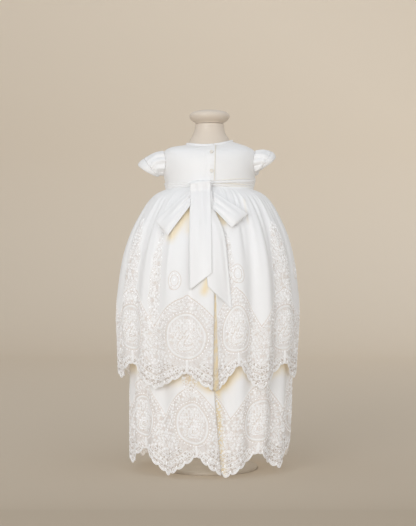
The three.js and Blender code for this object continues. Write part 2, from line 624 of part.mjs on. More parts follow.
function buildLowerTier() {
  const { meetAt, leftEdgeHem, rightEdgeHem, lapDepth, lapSpread } = lowerLap;
  const panels = {
    lower_tier_front: frontEdges,
    lower_tier_back_left: { ...straightEdges(-sideSeam + gap, meetAt - gap), toHem: leftEdgeHem },
    lower_tier_back_right: { ...straightEdges(meetAt + gap, sideSeam - gap), fromHem: rightEdgeHem },
  };
  const underLap = (angle, level) => (
    lapDepth * clamp01(6 * (1 - level)) * smooth((leftEdgeHem + lapSpread - angle) / lapSpread)
  );
  for (const [name, edges] of Object.entries(panels)) {
    add(name, skirtPanel({
      rings: lowerTierRings,
      edges,
      lowZ: (angle) => hemZ(lowerHem, lowerTips, angle),
      levels: [0, 0.3, 0.62, 0.86, 1],
      marks: lowerTips,
      stepCount: 8,
      bend: 2,
      tuck: name === 'lower_tier_back_right' ? underLap : undefined,
    }), lace);
  }
}

function buildUnderskirt() {
  const panels = {
    underskirt_front: frontEdges,
    underskirt_back_left: straightEdges(-sideSeam + gap, -gap),
    underskirt_back_right: straightEdges(gap, sideSeam - gap),
  };
  const layer = {
    rings: underskirtRings,
    lowZ: () => underskirtRings[underskirtRings.length - 1].z,
    levels: [0, 0.47, 0.64, 0.79, 0.9, 0.97, 1],
    marks: [-90, 270],
    stepCount: 36,
  };
  for (const [name, edges] of Object.entries(panels)) {
    add(name, skirtPanel({ ...layer, edges }), satin);
  }
}

function buildForm() {
  const angles = steps(0, 360 - 360 / 32, 31);
  const ringOf = (ring) => angles.map((angle) => ringPoint(ring, angle));
  const inside = movedOut(bodiceSurface, -(satinThickness / 2 + formClearance));
  const torsoHeights = [0.06, 1, 2, 3, 4, 5, 6, 7, 7.7];
  const rings = [
    ...formHipRings.map(ringOf),
    ...torsoHeights.map((height) => angles.map((angle) => inside(angle, height))),
    ...formNeckRings.map(ringOf),
  ];
  add('form_torso', loft(rings), formSkin);

  const upright = (profile, segments) => {
    const points = profile.map(({ r, z }) => new THREE.Vector2(r, z));
    return new THREE.LatheGeometry(points, segments).rotateX(Math.PI / 2);
  };
  add('form_neck_cap', upright(neckCapProfile, 28), formSkin);
  add('stand_pole', upright([
    { r: 0, z: pole.lowZ }, { r: pole.radius, z: pole.lowZ },
    { r: pole.radius, z: pole.highZ }, { r: 0, z: pole.highZ },
  ], 16), standPaint);
  add('stand_base', upright([
    { r: 0, z: 0 }, { r: base.radius, z: 0 }, { r: base.radius, z: base.thickness - base.edge },
    { r: base.radius - base.edge, z: base.thickness }, { r: base.bossRadius, z: base.thickness + 1 },
    { r: base.bossRadius - 2, z: base.bossHeight }, { r: 0, z: base.bossHeight },
  ], 36), standPaint);
}

buildForm();
buildBodice();
buildPlacket();
buildButtons();
buildBinding();
buildSleeves();
buildSash();
buildTail('sash_tail_right', rightTail);
buildTail('sash_tail_left', leftTail);
buildLoop('bow_loop_left', leftLoop);
buildLoop('bow_loop_right', rightLoop);
buildOverskirt();
buildLowerTier();
buildUnderskirt();

export default group;
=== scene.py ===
# A christening gown on an infant's dress form, seen from the gown's back.
# The tables are in millimetres and degrees, and meshes are made in metres. Angles go round the body: 0 is
# the centre back, 90 the +X side and 180 the centre front. Heights are above the floor.
import math
import bpy
import numpy as np
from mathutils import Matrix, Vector


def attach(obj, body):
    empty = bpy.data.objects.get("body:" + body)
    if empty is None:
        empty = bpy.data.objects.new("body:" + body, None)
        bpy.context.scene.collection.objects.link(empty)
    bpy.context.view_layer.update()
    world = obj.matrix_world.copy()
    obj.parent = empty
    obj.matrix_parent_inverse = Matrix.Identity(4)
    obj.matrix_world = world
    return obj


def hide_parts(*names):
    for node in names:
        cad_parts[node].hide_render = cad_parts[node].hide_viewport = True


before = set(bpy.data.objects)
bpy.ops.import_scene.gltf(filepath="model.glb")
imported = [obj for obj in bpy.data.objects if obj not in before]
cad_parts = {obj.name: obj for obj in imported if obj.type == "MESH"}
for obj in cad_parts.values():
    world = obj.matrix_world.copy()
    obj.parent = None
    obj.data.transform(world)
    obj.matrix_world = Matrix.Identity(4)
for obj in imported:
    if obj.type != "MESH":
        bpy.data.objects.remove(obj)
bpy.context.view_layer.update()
mm = 0.001
print("stage: frame loaded")


# Small maths used by every piece

def through(places, values, at):  # a smooth curve through one column of a table
    places, values = np.asarray(places, float), np.asarray(values, float)
    if places[0] > places[-1]:
        places, values = places[::-1], values[::-1]
    slopes = np.gradient(values, places)
    slopes[1:-1] = (values[2:] - values[:-2]) / (places[2:] - places[:-2])
    at = np.asarray(at, float)
    i = np.clip(np.searchsorted(places, at, side="right") - 1, 0, len(places) - 2)
    span = places[i + 1] - places[i]
    t = np.clip((at - places[i]) / span, 0, 1)
    return ((2 * t**3 - 3 * t**2 + 1) * values[i] + (t**3 - 2 * t**2 + t) * span * slopes[i]
            + (3 * t**2 - 2 * t**3) * values[i + 1] + (t**3 - t**2) * span * slopes[i + 1])


def column(table, key):
    return [row[key] for row in table]


def named(keys, rows):  # a table of dictionaries from rows of bare values
    return [dict(zip(keys, row)) for row in rows]


def smooth(t):
    t = np.clip(t, 0, 1)
    return t * t * (3 - 2 * t)


def bump(distance, spread):
    return np.exp(-((distance / spread) ** 2))


def wrapped(degrees):
    return (degrees + 180) % 360 - 180


def mix(a, b, t):
    return a + (b - a) * t


def unit(vectors):
    return vectors / (np.linalg.norm(vectors, axis=-1, keepdims=True) + 1e-12)


def normalsOf(surface, u, v, stepU=0.2, stepV=0.5):  # outward normals of a surface(u, v)
    along = surface(u + stepU, v) - surface(u - stepU, v)
    up = surface(u, v + stepV) - surface(u, v - stepV)
    return unit(np.cross(along, up))


# Meshes

def smoothMesh(name, points, faces, material):
    mesh = bpy.data.meshes.new(name)
    mesh.from_pydata((np.asarray(points) * mm).tolist(), [], faces)
    mesh.materials.append(material)
    mesh.polygons.foreach_set("use_smooth", [True] * len(mesh.polygons))
    mesh.update()
    return mesh


def placed(name, data):  # an object in the scene
    item = bpy.data.objects.new(name, data)
    bpy.context.scene.collection.objects.link(item)
    return item


def pieceOf(name, mesh):  # a piece of the part
    piece = placed(name, mesh)
    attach(piece, "root")
    return piece


def setMap(piece, uv, tones=None):  # uv in metres on the flat cloth, and named values of each vertex
    mesh = piece.data
    loops = np.zeros(len(mesh.loops), np.int32)
    mesh.loops.foreach_get("vertex_index", loops)
    layer = mesh.uv_layers.new(name="cloth")
    layer.data.foreach_set("uv", np.asarray(uv, np.float32)[loops].ravel())
    for key, values in (tones or {}).items():
        attribute = mesh.attributes.new(key, "FLOAT", "POINT")
        attribute.data.foreach_set("value", np.asarray(values, np.float32).ravel())


def shell(name, points, thickness, material, slot, closed=False, tones=None, keep=None, insideOut=False):
    # a thin closed wall about points[column, row], with columns round the body and rows upwards
    columns, rows = points.shape[:2]
    if closed:
        along = np.roll(points, -1, 0) - np.roll(points, 1, 0)
    else:
        along = np.gradient(points, axis=0)
    up = np.gradient(points, axis=1)
    out = unit(np.cross(along, up)) * thickness / 2
    both = np.concatenate([(points + out).reshape(-1, 3), (points - out).reshape(-1, 3)])
    number = np.arange(columns * rows).reshape(columns, rows)
    if closed:
        number = np.concatenate([number, number[:1]])
    a, b, c, d = number[:-1, :-1], number[1:, :-1], number[1:, 1:], number[:-1, 1:]
    quads = np.stack([a, b, c, d], -1)
    if keep is not None:
        quads = quads[keep]
    quads = quads.reshape(-1, 4)
    edges = np.concatenate([quads[:, [k, (k + 1) % 4]] for k in range(4)])
    key = edges.min(1).astype(np.int64) * (columns * rows) + edges.max(1)
    _, first, counts = np.unique(key, return_index=True, return_counts=True)
    rim = edges[first[counts == 1]]
    back = columns * rows
    walls = np.stack([rim[:, 1], rim[:, 0], rim[:, 0] + back, rim[:, 1] + back], -1)
    faces = np.concatenate([quads, quads[:, ::-1] + back, walls])
    used = np.unique(faces)
    renumber = np.zeros(2 * back, np.int64)
    renumber[used] = np.arange(len(used))
    piece = pieceOf(name, smoothMesh(name, both[used], renumber[faces].tolist(), material))
    lengthAlong = np.linalg.norm(np.diff(points, axis=0), axis=-1).mean(1)
    lengthUp = np.linalg.norm(np.diff(points, axis=1), axis=-1).mean(0)
    u, v = np.meshgrid(np.r_[0, np.cumsum(lengthAlong)], np.r_[0, np.cumsum(lengthUp)], indexing="ij")
    flat = np.tile(np.stack([u, v], -1).reshape(-1, 2) * mm, (2, 1))[used]
    kept = {key: np.tile(np.asarray(values).ravel(), 2)[used] for key, values in (tones or {}).items()}
    kept["inside"] = np.repeat([1, 0] if insideOut else [0, 1], back)[used]
    setMap(piece, flat, kept)
    return piece


def loft(name, rings, material):  # a solid through closed rings of points, with a fan over each end
    rings = np.asarray(rings)
    levels, count = rings.shape[:2]
    points = np.concatenate([rings.reshape(-1, 3), rings[0].mean(0)[None], rings[-1].mean(0)[None]])
    faces = []
    for k in range(levels - 1):
        for i in range(count):
            n = (i + 1) % count
            faces.append((k * count + i, k * count + n, (k + 1) * count + n, (k + 1) * count + i))
    low, high, top = levels * count, levels * count + 1, (levels - 1) * count
    for i in range(count):
        n = (i + 1) % count
        faces.append((low, n, i))
        faces.append((high, top + i, top + n))
    return pieceOf(name, smoothMesh(name, points, faces, material))


def lathe(name, profile, material, segments=96):  # profile rows are (radius, height)
    angles = np.linspace(0, 2 * math.pi, segments, endpoint=False)
    circle = np.stack([np.cos(angles), np.sin(angles), np.zeros(segments)], -1)
    return loft(name, [radius * circle + [0, 0, z] for radius, z in profile], material)


def cloth(name, points, material, slot, thickness, held, length, fill, restsOn, stands=True, **options):
    # a cloth wall in place of a CAD node. length is that of the flat cut in metres, and fill the share of the cut's
    # rectangle that the cloth takes up; neither is used
    piece = shell(name + "_cloth", points, thickness, material, slot, **options)
    if stands:
        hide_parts(name)


# Materials

def newMaterial(name):
    material = bpy.data.materials.new(name)
    material.use_nodes = True
    tree = material.node_tree
    return material, tree, tree.nodes["Principled BSDF"]


def setInputs(node, **values):
    for key, value in values.items():
        node.inputs[key.replace("_", " ")].default_value = value


def mapped(tree, source, scale):
    coordinates = tree.nodes.new("ShaderNodeTexCoord")
    mapping = tree.nodes.new("ShaderNodeMapping")
    mapping.inputs["Scale"].default_value = scale
    tree.links.new(coordinates.outputs[source], mapping.inputs["Vector"])
    return mapping.outputs["Vector"]


def noise(tree, vector, scale, detail=3.0, roughness=0.5):
    node = tree.nodes.new("ShaderNodeTexNoise")
    setInputs(node, Scale=scale, Detail=detail, Roughness=roughness)
    tree.links.new(vector, node.inputs["Vector"])
    return node.outputs["Fac"]


def wave(tree, vector, direction, scale):
    node = tree.nodes.new("ShaderNodeTexWave")
    node.bands_direction = direction
    setInputs(node, Scale=scale)
    tree.links.new(vector, node.inputs["Vector"])
    return node.outputs["Fac"]


def mathNode(tree, operation, *values):
    node = tree.nodes.new("ShaderNodeMath")
    node.operation = operation
    for socket, value in zip(node.inputs, values):
        if isinstance(value, (int, float)):
            socket.default_value = value
        else:
            tree.links.new(value, socket)
    return node.outputs[0]


def mixColours(tree, factor, first, second):
    node = tree.nodes.new("ShaderNodeMix")
    node.data_type = "RGBA"
    colours = [socket for socket in node.inputs if socket.type == "RGBA"]
    tree.links.new(factor, node.inputs[0])
    for socket, value in zip(colours, (first, second)):
        if isinstance(value, tuple):
            socket.default_value = (*value, 1)
        else:
            tree.links.new(value, socket)
    return [socket for socket in node.outputs if socket.type == "RGBA"][0]


def valueOf(tree, name):
    node = tree.nodes.new("ShaderNodeAttribute")
    node.attribute_name = name
    return node.outputs["Fac"]


def bumpNode(tree, height, distance, shader, strength=1.0):
    node = tree.nodes.new("ShaderNodeBump")
    setInputs(node, Strength=strength, Distance=distance)
    tree.links.new(height, node.inputs["Height"])
    tree.links.new(node.outputs["Normal"], shader.inputs["Normal"])


# the lace's repeat, centred on a notch of the hem: x runs across it and h up from the line of the tips
motifPlans = {
    "upper": {"width": 110, "hemDepth": 35, "ovalH": 94, "ovalWide": 28.5, "ovalHigh": 36.5,
              "ogeeLow": 105, "ogeeRise": 56},
    "lower": {"width": 112, "hemDepth": 37, "ovalH": 89, "ovalWide": 28.5, "ovalHigh": 33.5,
              "ogeeLow": 98, "ogeeRise": 54},
}
scallopPower, ogeePower = 1.25, 1.7  # how the scallop and the lace's upper outline curve
satinLook = {
    "colour": (0.905, 0.90, 0.895),
    "shade": (0.88, 0.873, 0.865),
    "paintedShadeColour": (0.86, 0.74, 0.50),  # yellowish painted shade, for the places between two layers
    "through": (0, 0, 0),
    "inside": (0.10, 0.098, 0.094),  # painted light: a glow on the cloth's inner side, for light that comes through it
    "roughness": 0.36,
    "weft": 130.0,
    "warp": 400.0,
    "slubs": (60, 900, 1),
    "weaveDepth": 0.00005,
}


def paintedThroughGlow(tree, shader, look):  # painted light: the cloth glows a little on its inner side and between layers, for the light that thin cloth passes
    between = mixColours(tree, valueOf(tree, "paintedShadeAndGlow"), (0, 0, 0), look["through"])
    light = mixColours(tree, valueOf(tree, "inside"), between, look["inside"])
    tree.links.new(light, shader.inputs["Emission Color"])
    setInputs(shader, Emission_Strength=1.0)


def satinMaterial(name, look):
    material, tree, shader = newMaterial(name)
    flat = mapped(tree, "UV", (1, 1, 1))
    weft, warp = wave(tree, flat, "X", look["weft"]), wave(tree, flat, "Y", look["warp"])
    slubs = noise(tree, mapped(tree, "UV", look["slubs"]), 1.0, 2.0)
    clouds = noise(tree, mapped(tree, "Object", (1, 1, 1)), 14.0, 3.0)
    plain = mixColours(tree, clouds, look["shade"], look["colour"])
    # painted shade: the colour turns yellowish where the attribute on the vertices asks for it
    withPaintedShade = mixColours(tree, valueOf(tree, "paintedShadeAndGlow"), plain, look["paintedShadeColour"])
    tree.links.new(withPaintedShade, shader.inputs["Base Color"])
    tree.links.new(mathNode(tree, "MULTIPLY_ADD", slubs, 0.12, look["roughness"]), shader.inputs["Roughness"])
    weave = mathNode(tree, "ADD", weft, mathNode(tree, "MULTIPLY", warp, 0.4))
    height = mathNode(tree, "ADD", weave, mathNode(tree, "MULTIPLY", slubs, 1.6))
    bumpNode(tree, height, look["weaveDepth"], shader)
    setInputs(shader, Sheen_Weight=0.2, Sheen_Roughness=0.4, IOR=1.45)
    paintedThroughGlow(tree, shader, look)
    return material


laceLook = {
    "plain": (0.89, 0.886, 0.882),
    "stitch": (0.825, 0.80, 0.78),
    "curl": (0.745, 0.68, 0.63),
    # the openings show painted shade of the layers inside: net away from the hem and gap near it
    "net": (0.74, 0.685, 0.64),
    "gap": (0.55, 0.475, 0.41),  # painted shade of the inner layers, seen through the openings near the hem
    "openings": 310.0,
    "curls": 190.0,
    "mesh": 90.0,
    "holeDepth": 0.0004,
    # yellowish painted shade between layers
    "paintedShadeColour": (0.84, 0.70, 0.44),
    # painted light: glows between layers and on the net's inner side
    "through": (0.045, 0.038, 0.026),
    "inside": (0.20, 0.19, 0.175),
    "roughness": 0.72,
}


# where the material's zones lie: millimetres above the hem, or shares of the medallion with its margin
laceZones = {
    "margin": 17.5, "medallionEdge": 0.98, "medallionMiddle": 0.63, "edgeSharpness": 12.0,
    "firstRow": 6.0, "rowPitch": 8.4, "hemZone": 39.0,
    "holeReach": 0.33, "widerAtHem": 0.13, "smallerInside": 0.10, "holeSharpness": 9.0,
}


def laceMaterial(name, look, plan, zones=laceZones):  # net with close embroidery inside the lace's outline
    material, tree, shader = newMaterial(name)
    calc = lambda operation, *values: mathNode(tree, operation, *values)
    zeroToOne = lambda value: calc("MINIMUM", calc("MAXIMUM", value, 0.0), 1.0)
    flat = mapped(tree, "UV", (1, 1, 1))
    across, rise = valueOf(tree, "across"), calc("MULTIPLY", valueOf(tree, "rise"), 1000.0)
    # the same outlines as the cords follow, from across (0 over a notch, 1 over a tip) and rise in millimetres
    outline = calc("MULTIPLY_ADD", calc("POWER", across, ogeePower), -plan["ogeeRise"],
                   plan["ogeeLow"] + plan["ogeeRise"])
    amount = zeroToOne(calc("MULTIPLY", calc("SUBTRACT", outline, rise), 0.4))
    amount = calc("MAXIMUM", amount, valueOf(tree, "panel"))
    hem = calc("MULTIPLY", calc("POWER", calc("SUBTRACT", 1.0, across), scallopPower), plan["hemDepth"])
    above = calc("SUBTRACT", rise, hem)
    side = calc("MULTIPLY", across, plan["width"] / 2 / (plan["ovalWide"] + zones["margin"]))
    up = calc("DIVIDE", calc("SUBTRACT", rise, plan["ovalH"]), plan["ovalHigh"] + zones["margin"])
    medallion = calc("SQRT", calc("ADD", calc("MULTIPLY", side, side), calc("MULTIPLY", up, up)))
    sharpness = zones["edgeSharpness"]
    outside = zeroToOne(calc("MULTIPLY", calc("SUBTRACT", medallion, zones["medallionEdge"]), sharpness))
    inner = zeroToOne(calc("MULTIPLY", calc("SUBTRACT", zones["medallionMiddle"], medallion), sharpness))
    phase = calc("MULTIPLY", calc("SUBTRACT", above, zones["firstRow"]), 2 * math.pi / zones["rowPitch"])
    rows = calc("MAXIMUM", calc("MULTIPLY_ADD", calc("COSINE", phase), 0.75, 0.25), 0.0)
    nearHem = zeroToOne(calc("MULTIPLY", calc("SUBTRACT", zones["hemZone"], above), 0.2))
    nearHem = calc("MULTIPLY", nearHem, outside)
    # small openings between close stitches, wider near the hem, and curling lines of a darker thread; the openings
    # carry painted shade of the layers inside
    cells = tree.nodes.new("ShaderNodeTexVoronoi")
    setInputs(cells, Scale=look["openings"])
    tree.links.new(flat, cells.inputs["Vector"])
    reach = calc("MULTIPLY_ADD", nearHem, zones["widerAtHem"], zones["holeReach"])
    reach = calc("SUBTRACT", reach, calc("MULTIPLY", inner, zones["smallerInside"]))
    reach = calc("SUBTRACT", reach, cells.outputs["Distance"])
    holes = zeroToOne(calc("MULTIPLY", reach, zones["holeSharpness"]))
    curls = calc("ABSOLUTE", calc("SUBTRACT", noise(tree, flat, look["curls"], 0.0), 0.5))
    curls = calc("MAXIMUM", calc("SUBTRACT", 0.75, calc("MULTIPLY", curls, 16.0)), 0.0)
    netted = mixColours(tree, curls, look["stitch"], look["curl"])
    depth = mixColours(tree, nearHem, look["net"], look["gap"])
    rowed = mixColours(tree, holes, netted, depth)
    # painted shade in bands between the rows near the hem
    rowed = mixColours(tree, calc("MULTIPLY", calc("MULTIPLY", rows, nearHem), 0.35), rowed, look["gap"])
    cloth = mixColours(tree, amount, look["plain"], rowed)
    # painted shade: the colour turns yellowish where the attribute on the vertices asks for it
    withPaintedShade = mixColours(tree, valueOf(tree, "paintedShadeAndGlow"), cloth, look["paintedShadeColour"])
    tree.links.new(withPaintedShade, shader.inputs["Base Color"])
    mesh = wave(tree, flat, "DIAGONAL", look["mesh"])
    height = calc("SUBTRACT", calc("MULTIPLY", mesh, 0.12), calc("MULTIPLY", holes, amount))
    bumpNode(tree, height, look["holeDepth"], shader, 0.8)
    setInputs(shader, Roughness=look["roughness"], Sheen_Weight=0.15, Sheen_Roughness=0.5)
    paintedThroughGlow(tree, shader, look)
    return material


def threadMaterial(name, colour, shade):  # thread with fine flecks
    material, tree, shader = newMaterial(name)
    flecks = noise(tree, mapped(tree, "Object", (1, 1, 1)), 900.0, 2.0, 0.6)
    tree.links.new(mixColours(tree, flecks, shade, colour), shader.inputs["Base Color"])
    bumpNode(tree, flecks, 0.0002, shader, 0.6)
    setInputs(shader, Roughness=0.55, Sheen_Weight=0.3, Sheen_Roughness=0.4)
    return material


def glossMaterial(name, colour, shade, roughness, coat, scale, ior=1.5):  # scale is that of its clouds
    material, tree, shader = newMaterial(name)
    place = mapped(tree, "Object", (1, 1, 1))
    clouds, grain = noise(tree, place, scale, 3.0), noise(tree, place, scale * 12, 2.0)
    tree.links.new(mixColours(tree, clouds, shade, colour), shader.inputs["Base Color"])
    tree.links.new(mathNode(tree, "MULTIPLY_ADD", grain, 0.1, roughness - 0.05), shader.inputs["Roughness"])
    bumpNode(tree, grain, 0.00004, shader, 0.5)
    setInputs(shader, Coat_Weight=coat, Coat_Roughness=0.15, IOR=ior)
    return material


satin = satinMaterial("white satin", satinLook)
lining = satinMaterial("plain satin of the underskirt", {**satinLook, "colour": (0.88, 0.865, 0.84)})
upperLace = laceMaterial("embroidered net of the overskirt", laceLook, motifPlans["upper"])
lowerLook = {
    **laceLook, "stitch": (0.81, 0.775, 0.747), "curl": (0.71, 0.63, 0.57), "net": (0.70, 0.635, 0.585),
}
lowerLace = laceMaterial("embroidered net of the lower tier", lowerLook, motifPlans["lower"])
whiteCord = threadMaterial("white lace cord", colour=(0.94, 0.935, 0.93), shade=(0.88, 0.87, 0.86))
ivoryCord = threadMaterial("ivory lace cord", colour=(0.80, 0.735, 0.68), shade=(0.73, 0.66, 0.60))
stitchThread = threadMaterial("sewing thread", colour=(0.84, 0.83, 0.83), shade=(0.74, 0.73, 0.73))
sequinGloss = glossMaterial("clear white sequin", colour=(0.93, 0.925, 0.93), shade=(0.88, 0.87, 0.88),
                            roughness=0.2, coat=0.8, scale=300.0, ior=2.2)
# a little light of its own stands for the glint of a sequin
setInputs(sequinGloss.node_tree.nodes["Principled BSDF"], Emission_Color=(1, 1, 1, 1), Emission_Strength=0.3)
pearl = glossMaterial("pearl", colour=(0.86, 0.82, 0.75), shade=(0.80, 0.75, 0.67),
                      roughness=0.22, coat=0.7, scale=400.0)
formSkin = glossMaterial("beige form", colour=(0.735, 0.645, 0.545), shade=(0.70, 0.61, 0.51),
                         roughness=0.45, coat=0.15, scale=20.0)
standPaint = glossMaterial("beige painted steel", colour=(0.54, 0.465, 0.37), shade=(0.51, 0.44, 0.35),
                           roughness=0.5, coat=0.1, scale=30.0)
print("stage: materials made")


# Camera, light and floor

# the lens is such that one pixel covers pixelMm at the gown's axis
cameraPlace = {"x": -2.7, "y": -2200.0, "z": 368.0, "pixelMm": 1.8, "frameHigh": 526, "sensor": 36.0}


def addCamera(place):
    data = bpy.data.cameras.new("camera")
    data.sensor_fit = "AUTO"
    data.sensor_width = place["sensor"]
    data.lens = place["sensor"] * -place["y"] / (place["pixelMm"] * place["frameHigh"])
    camera = placed("camera", data)
    camera.location = Vector((place["x"], place["y"], place["z"])) * mm
    camera.rotation_euler = (math.radians(90), 0, 0)
    bpy.context.scene.camera = camera


lightPlan = [
    {"name": "key", "from": (-1150, -2750, 700), "at": (0, 0, 320), "size": 2200, "watts": 39,
     "colour": (0.96, 0.975, 1)},
    {"name": "fill", "from": (1600, -2600, 250), "at": (0, 0, 320), "size": 2200, "watts": 19,
     "colour": (0.96, 0.975, 1)},
    # light that comes through the cloth on to the floor under the skirt
    {"name": "under", "from": (0, 0, 90), "at": (0, 0, 0), "size": 170, "watts": 0.05,
     "colour": (1, 0.96, 0.9)},
]
worldLight = {"colour": (0.945, 0.97, 1.0), "strength": 0.655}
# the backdrop's colour carries painted shading: darker low down and towards the front, lighter upwards, further back
# and to the +X side behind
stagePlan = {
    "low": (0.495, 0.411, 0.311), "high": (1.0, 0.885, 0.735), "nearEdge": -0.38, "power": 0.476,
    "upwards": 0.36, "backwards": 0.1, "sideways": 0.042,
    "highest": 0.95, "front": -7000, "curveFrom": 2500, "curveRadius": 900, "top": 3400, "half": 6500,
}


def addLights(plan, world):
    for row in plan:
        data = bpy.data.lights.new(row["name"], "AREA")
        data.shape = "DISK"
        data.size = row["size"] * mm
        data.energy = row["watts"]
        data.color = row["colour"]
        lamp = placed(row["name"], data)
        lamp.location = Vector(row["from"]) * mm
        lamp.rotation_euler = (Vector(row["at"]) * mm - lamp.location).to_track_quat("-Z", "Y").to_euler()
    surround = bpy.data.worlds.new("studio")
    surround.use_nodes = True
    background = surround.node_tree.nodes["Background"]
    background.inputs["Color"].default_value = (*world["colour"], 1)
    background.inputs["Strength"].default_value = world["strength"]
    bpy.context.scene.world = surround


def addStage(plan):
    material, tree, shader = newMaterial("pale backdrop paper")
    place = tree.nodes.new("ShaderNodeSeparateXYZ")
    tree.links.new(mapped(tree, "Object", (1, 1, 1)), place.inputs["Vector"])
    level = -plan["nearEdge"] * plan["backwards"]  # in metres, where the floor's painted shade is darkest
    for axis, key in (("Z", "upwards"), ("Y", "backwards")):
        share = mathNode(tree, "MULTIPLY", place.outputs[axis], plan[key])
        level = mathNode(tree, "ADD", share, level)
    level = mathNode(tree, "MINIMUM", mathNode(tree, "MAXIMUM", level, 0.0), plan["highest"])
    level = mathNode(tree, "POWER", level, plan["power"])
    behind = mathNode(tree, "MAXIMUM", place.outputs["Y"], 0.0)
    corner = mathNode(tree, "MULTIPLY", place.outputs["X"], behind)
    level = mathNode(tree, "ADD", mathNode(tree, "MULTIPLY", corner, plan["sideways"]), level)
    tree.links.new(mixColours(tree, level, plan["low"], plan["high"]), shader.inputs["Base Color"])
    setInputs(shader, Roughness=0.9)
    turns = np.radians(np.linspace(0, 90, 25))
    radius, start = plan["curveRadius"], plan["curveFrom"]
    profile = [(plan["front"], 0.0)]
    profile += [(start + radius * math.sin(t), radius * (1 - math.cos(t))) for t in turns]
    profile += [(start + radius, plan["top"])]
    points = [(x, y, z) for y, z in profile for x in (-plan["half"], plan["half"])]
    faces = [(2 * i, 2 * i + 1, 2 * i + 3, 2 * i + 2) for i in range(len(profile) - 1)]
    backdrop = placed("backdrop", smoothMesh("backdrop", points, faces, material))


addCamera(cameraPlace)
addLights(lightPlan, worldLight)
addStage(stagePlan)
bpy.context.scene.view_settings.view_transform = "Standard"
print("stage: camera, light and floor set")


# The bodice's surface. height 0 is the waist and 8 the neckline

bodiceKeys = ("halfWidth", "sideZ", "backDepth", "backZ", "frontDepth", "frontZ")
bodiceRings = [
    (76.0, 500.2, 59.0, 500.2, 61.0, 500.2),
    (79.6, 514.0, 60.6, 514.0, 65.5, 514.0),
    (82.6, 530.0, 62.5, 530.0, 67.0, 530.0),
    (84.2, 545.0, 62.5, 545.0, 65.5, 543.0),
    (84.0, 558.0, 59.5, 556.5, 61.0, 553.0),
    (81.0, 568.5, 54.5, 564.5, 54.5, 559.5),
    (70.0, 575.5, 48.5, 569.5, 47.5, 563.0),
    (55.5, 579.5, 42.5, 572.8, 41.5, 565.2),
    (42.4, 582.5, 37.5, 575.0, 37.0, 566.5),
]
bodiceTable = named(bodiceKeys, bodiceRings)
# soft drag lines in the bodice: a trough from one angle and height to another
bodiceCreases = named(("from", "to", "depth", "spread"), [
    ((-4, 6.6), (-22, 5.2), -0.9, 2.6), ((-5, 5.6), (-27, 3.9), -0.7, 3.0), ((12, 6.3), (34, 4.6), -0.8, 3.2),
    ((10, 3.6), (40, 2.6), -0.6, 3.4), ((52, 2.1), (78, 1.5), -0.9, 2.8), ((-50, 2.4), (-78, 1.6), -0.9, 3.0),
    ((-62, 4.9), (-80, 5.6), -0.8, 3.0), ((60, 5.0), (78, 5.7), -0.7, 3.0), ((150, 5.6), (128, 4.2), -0.8, 3.2),
    ((205, 5.4), (232, 3.8), -0.8, 3.2), ((165, 2.2), (120, 1.6), -0.7, 2.6), ((196, 2.4), (245, 1.7), -0.8, 2.6),
])
armhole = {"centreZ": 546.8, "halfDepth": 24.0, "halfHeight": 20.8, "from": 60.0}  # from is the least |x|
sideTopZ = 568  # above it the bodice's side turns in to the shoulder
waistZ = 500.4
backSeam = -3.0
seam = 0.02  # half the gap at a seam, in degrees
satinThickness = 0.9
ringHeights = list(range(len(bodiceRings)))
necklineHeight = 8.0


def ringPoint(halfWidth, sideZ, backDepth, backZ, frontDepth, frontZ, angle):
    s, c = np.sin(np.radians(angle)), np.cos(np.radians(angle))
    depth = np.where(c > 0, backDepth, frontDepth)
    z = mix(sideZ, np.where(c > 0, backZ, frontZ), c * c)
    return np.stack(np.broadcast_arrays(halfWidth * s, -depth * c, z), -1)


def bodicePlain(angle, height):
    return ringPoint(*[through(ringHeights, column(bodiceTable, key), height) for key in bodiceKeys], angle)


def necklineTilt(angle, height):  # the neckline sits a little higher on the right
    return 2.6 * np.sin(np.radians(angle)) * smooth((height - 5.5) / 2.5)


def bodiceFace(angle, height, lift=0.0):  # the bodice with its creases, moved out by lift
    point = bodicePlain(angle, height)
    point[..., 2] += necklineTilt(angle, height)
    crease = np.zeros(np.broadcast(angle, height).shape)
    for row in bodiceCreases:
        start, end = np.array(row["from"], float), np.array(row["to"], float)
        scale = np.array([1.3, 9.0])  # about millimetres for each degree and for each step of height
        way = (end - start) * scale
        offset = [wrapped(angle - start[0]) * scale[0] + 0 * height, (height - start[1]) * scale[1] + 0 * angle]
        offset = np.stack(offset, -1)
        t = np.clip((offset @ way) / (way @ way), 0, 1)
        away = np.linalg.norm(offset - t[..., None] * way, axis=-1)
        crease += row["depth"] * bump(away, row["spread"]) * np.sin(math.pi * np.clip(0.12 + 0.76 * t, 0, 1))
    return point + normalsOf(bodicePlain, angle, height, 0.2, 0.05) * (crease + lift)[..., None]


def bodiceHeightAt(angle, z):
    low = np.zeros(np.broadcast(angle, z).shape)
    high = np.full(low.shape, necklineHeight)
    for _ in range(24):  # halves the range each time
        middle = (low + high) / 2
        below = bodicePlain(angle, middle)[..., 2] < z
        low, high = np.where(below, middle, low), np.where(below, high, middle)
    return (low + high) / 2


def bodiceReach(y, z):  # how far to the side the bodice's side reaches at y and z
    height = bodiceHeightAt(90.0, np.minimum(z, sideTopZ))
    depth = np.abs(bodicePlain(np.where(y < 0, 0.0, 180.0), height)[..., 1])
    return bodicePlain(90.0, height)[..., 0] * np.sqrt(np.clip(1 - (y / depth) ** 2, 0, 1))


def angleAtX(x, height):
    return np.degrees(np.arcsin(x / bodicePlain(90.0, height)[..., 0]))


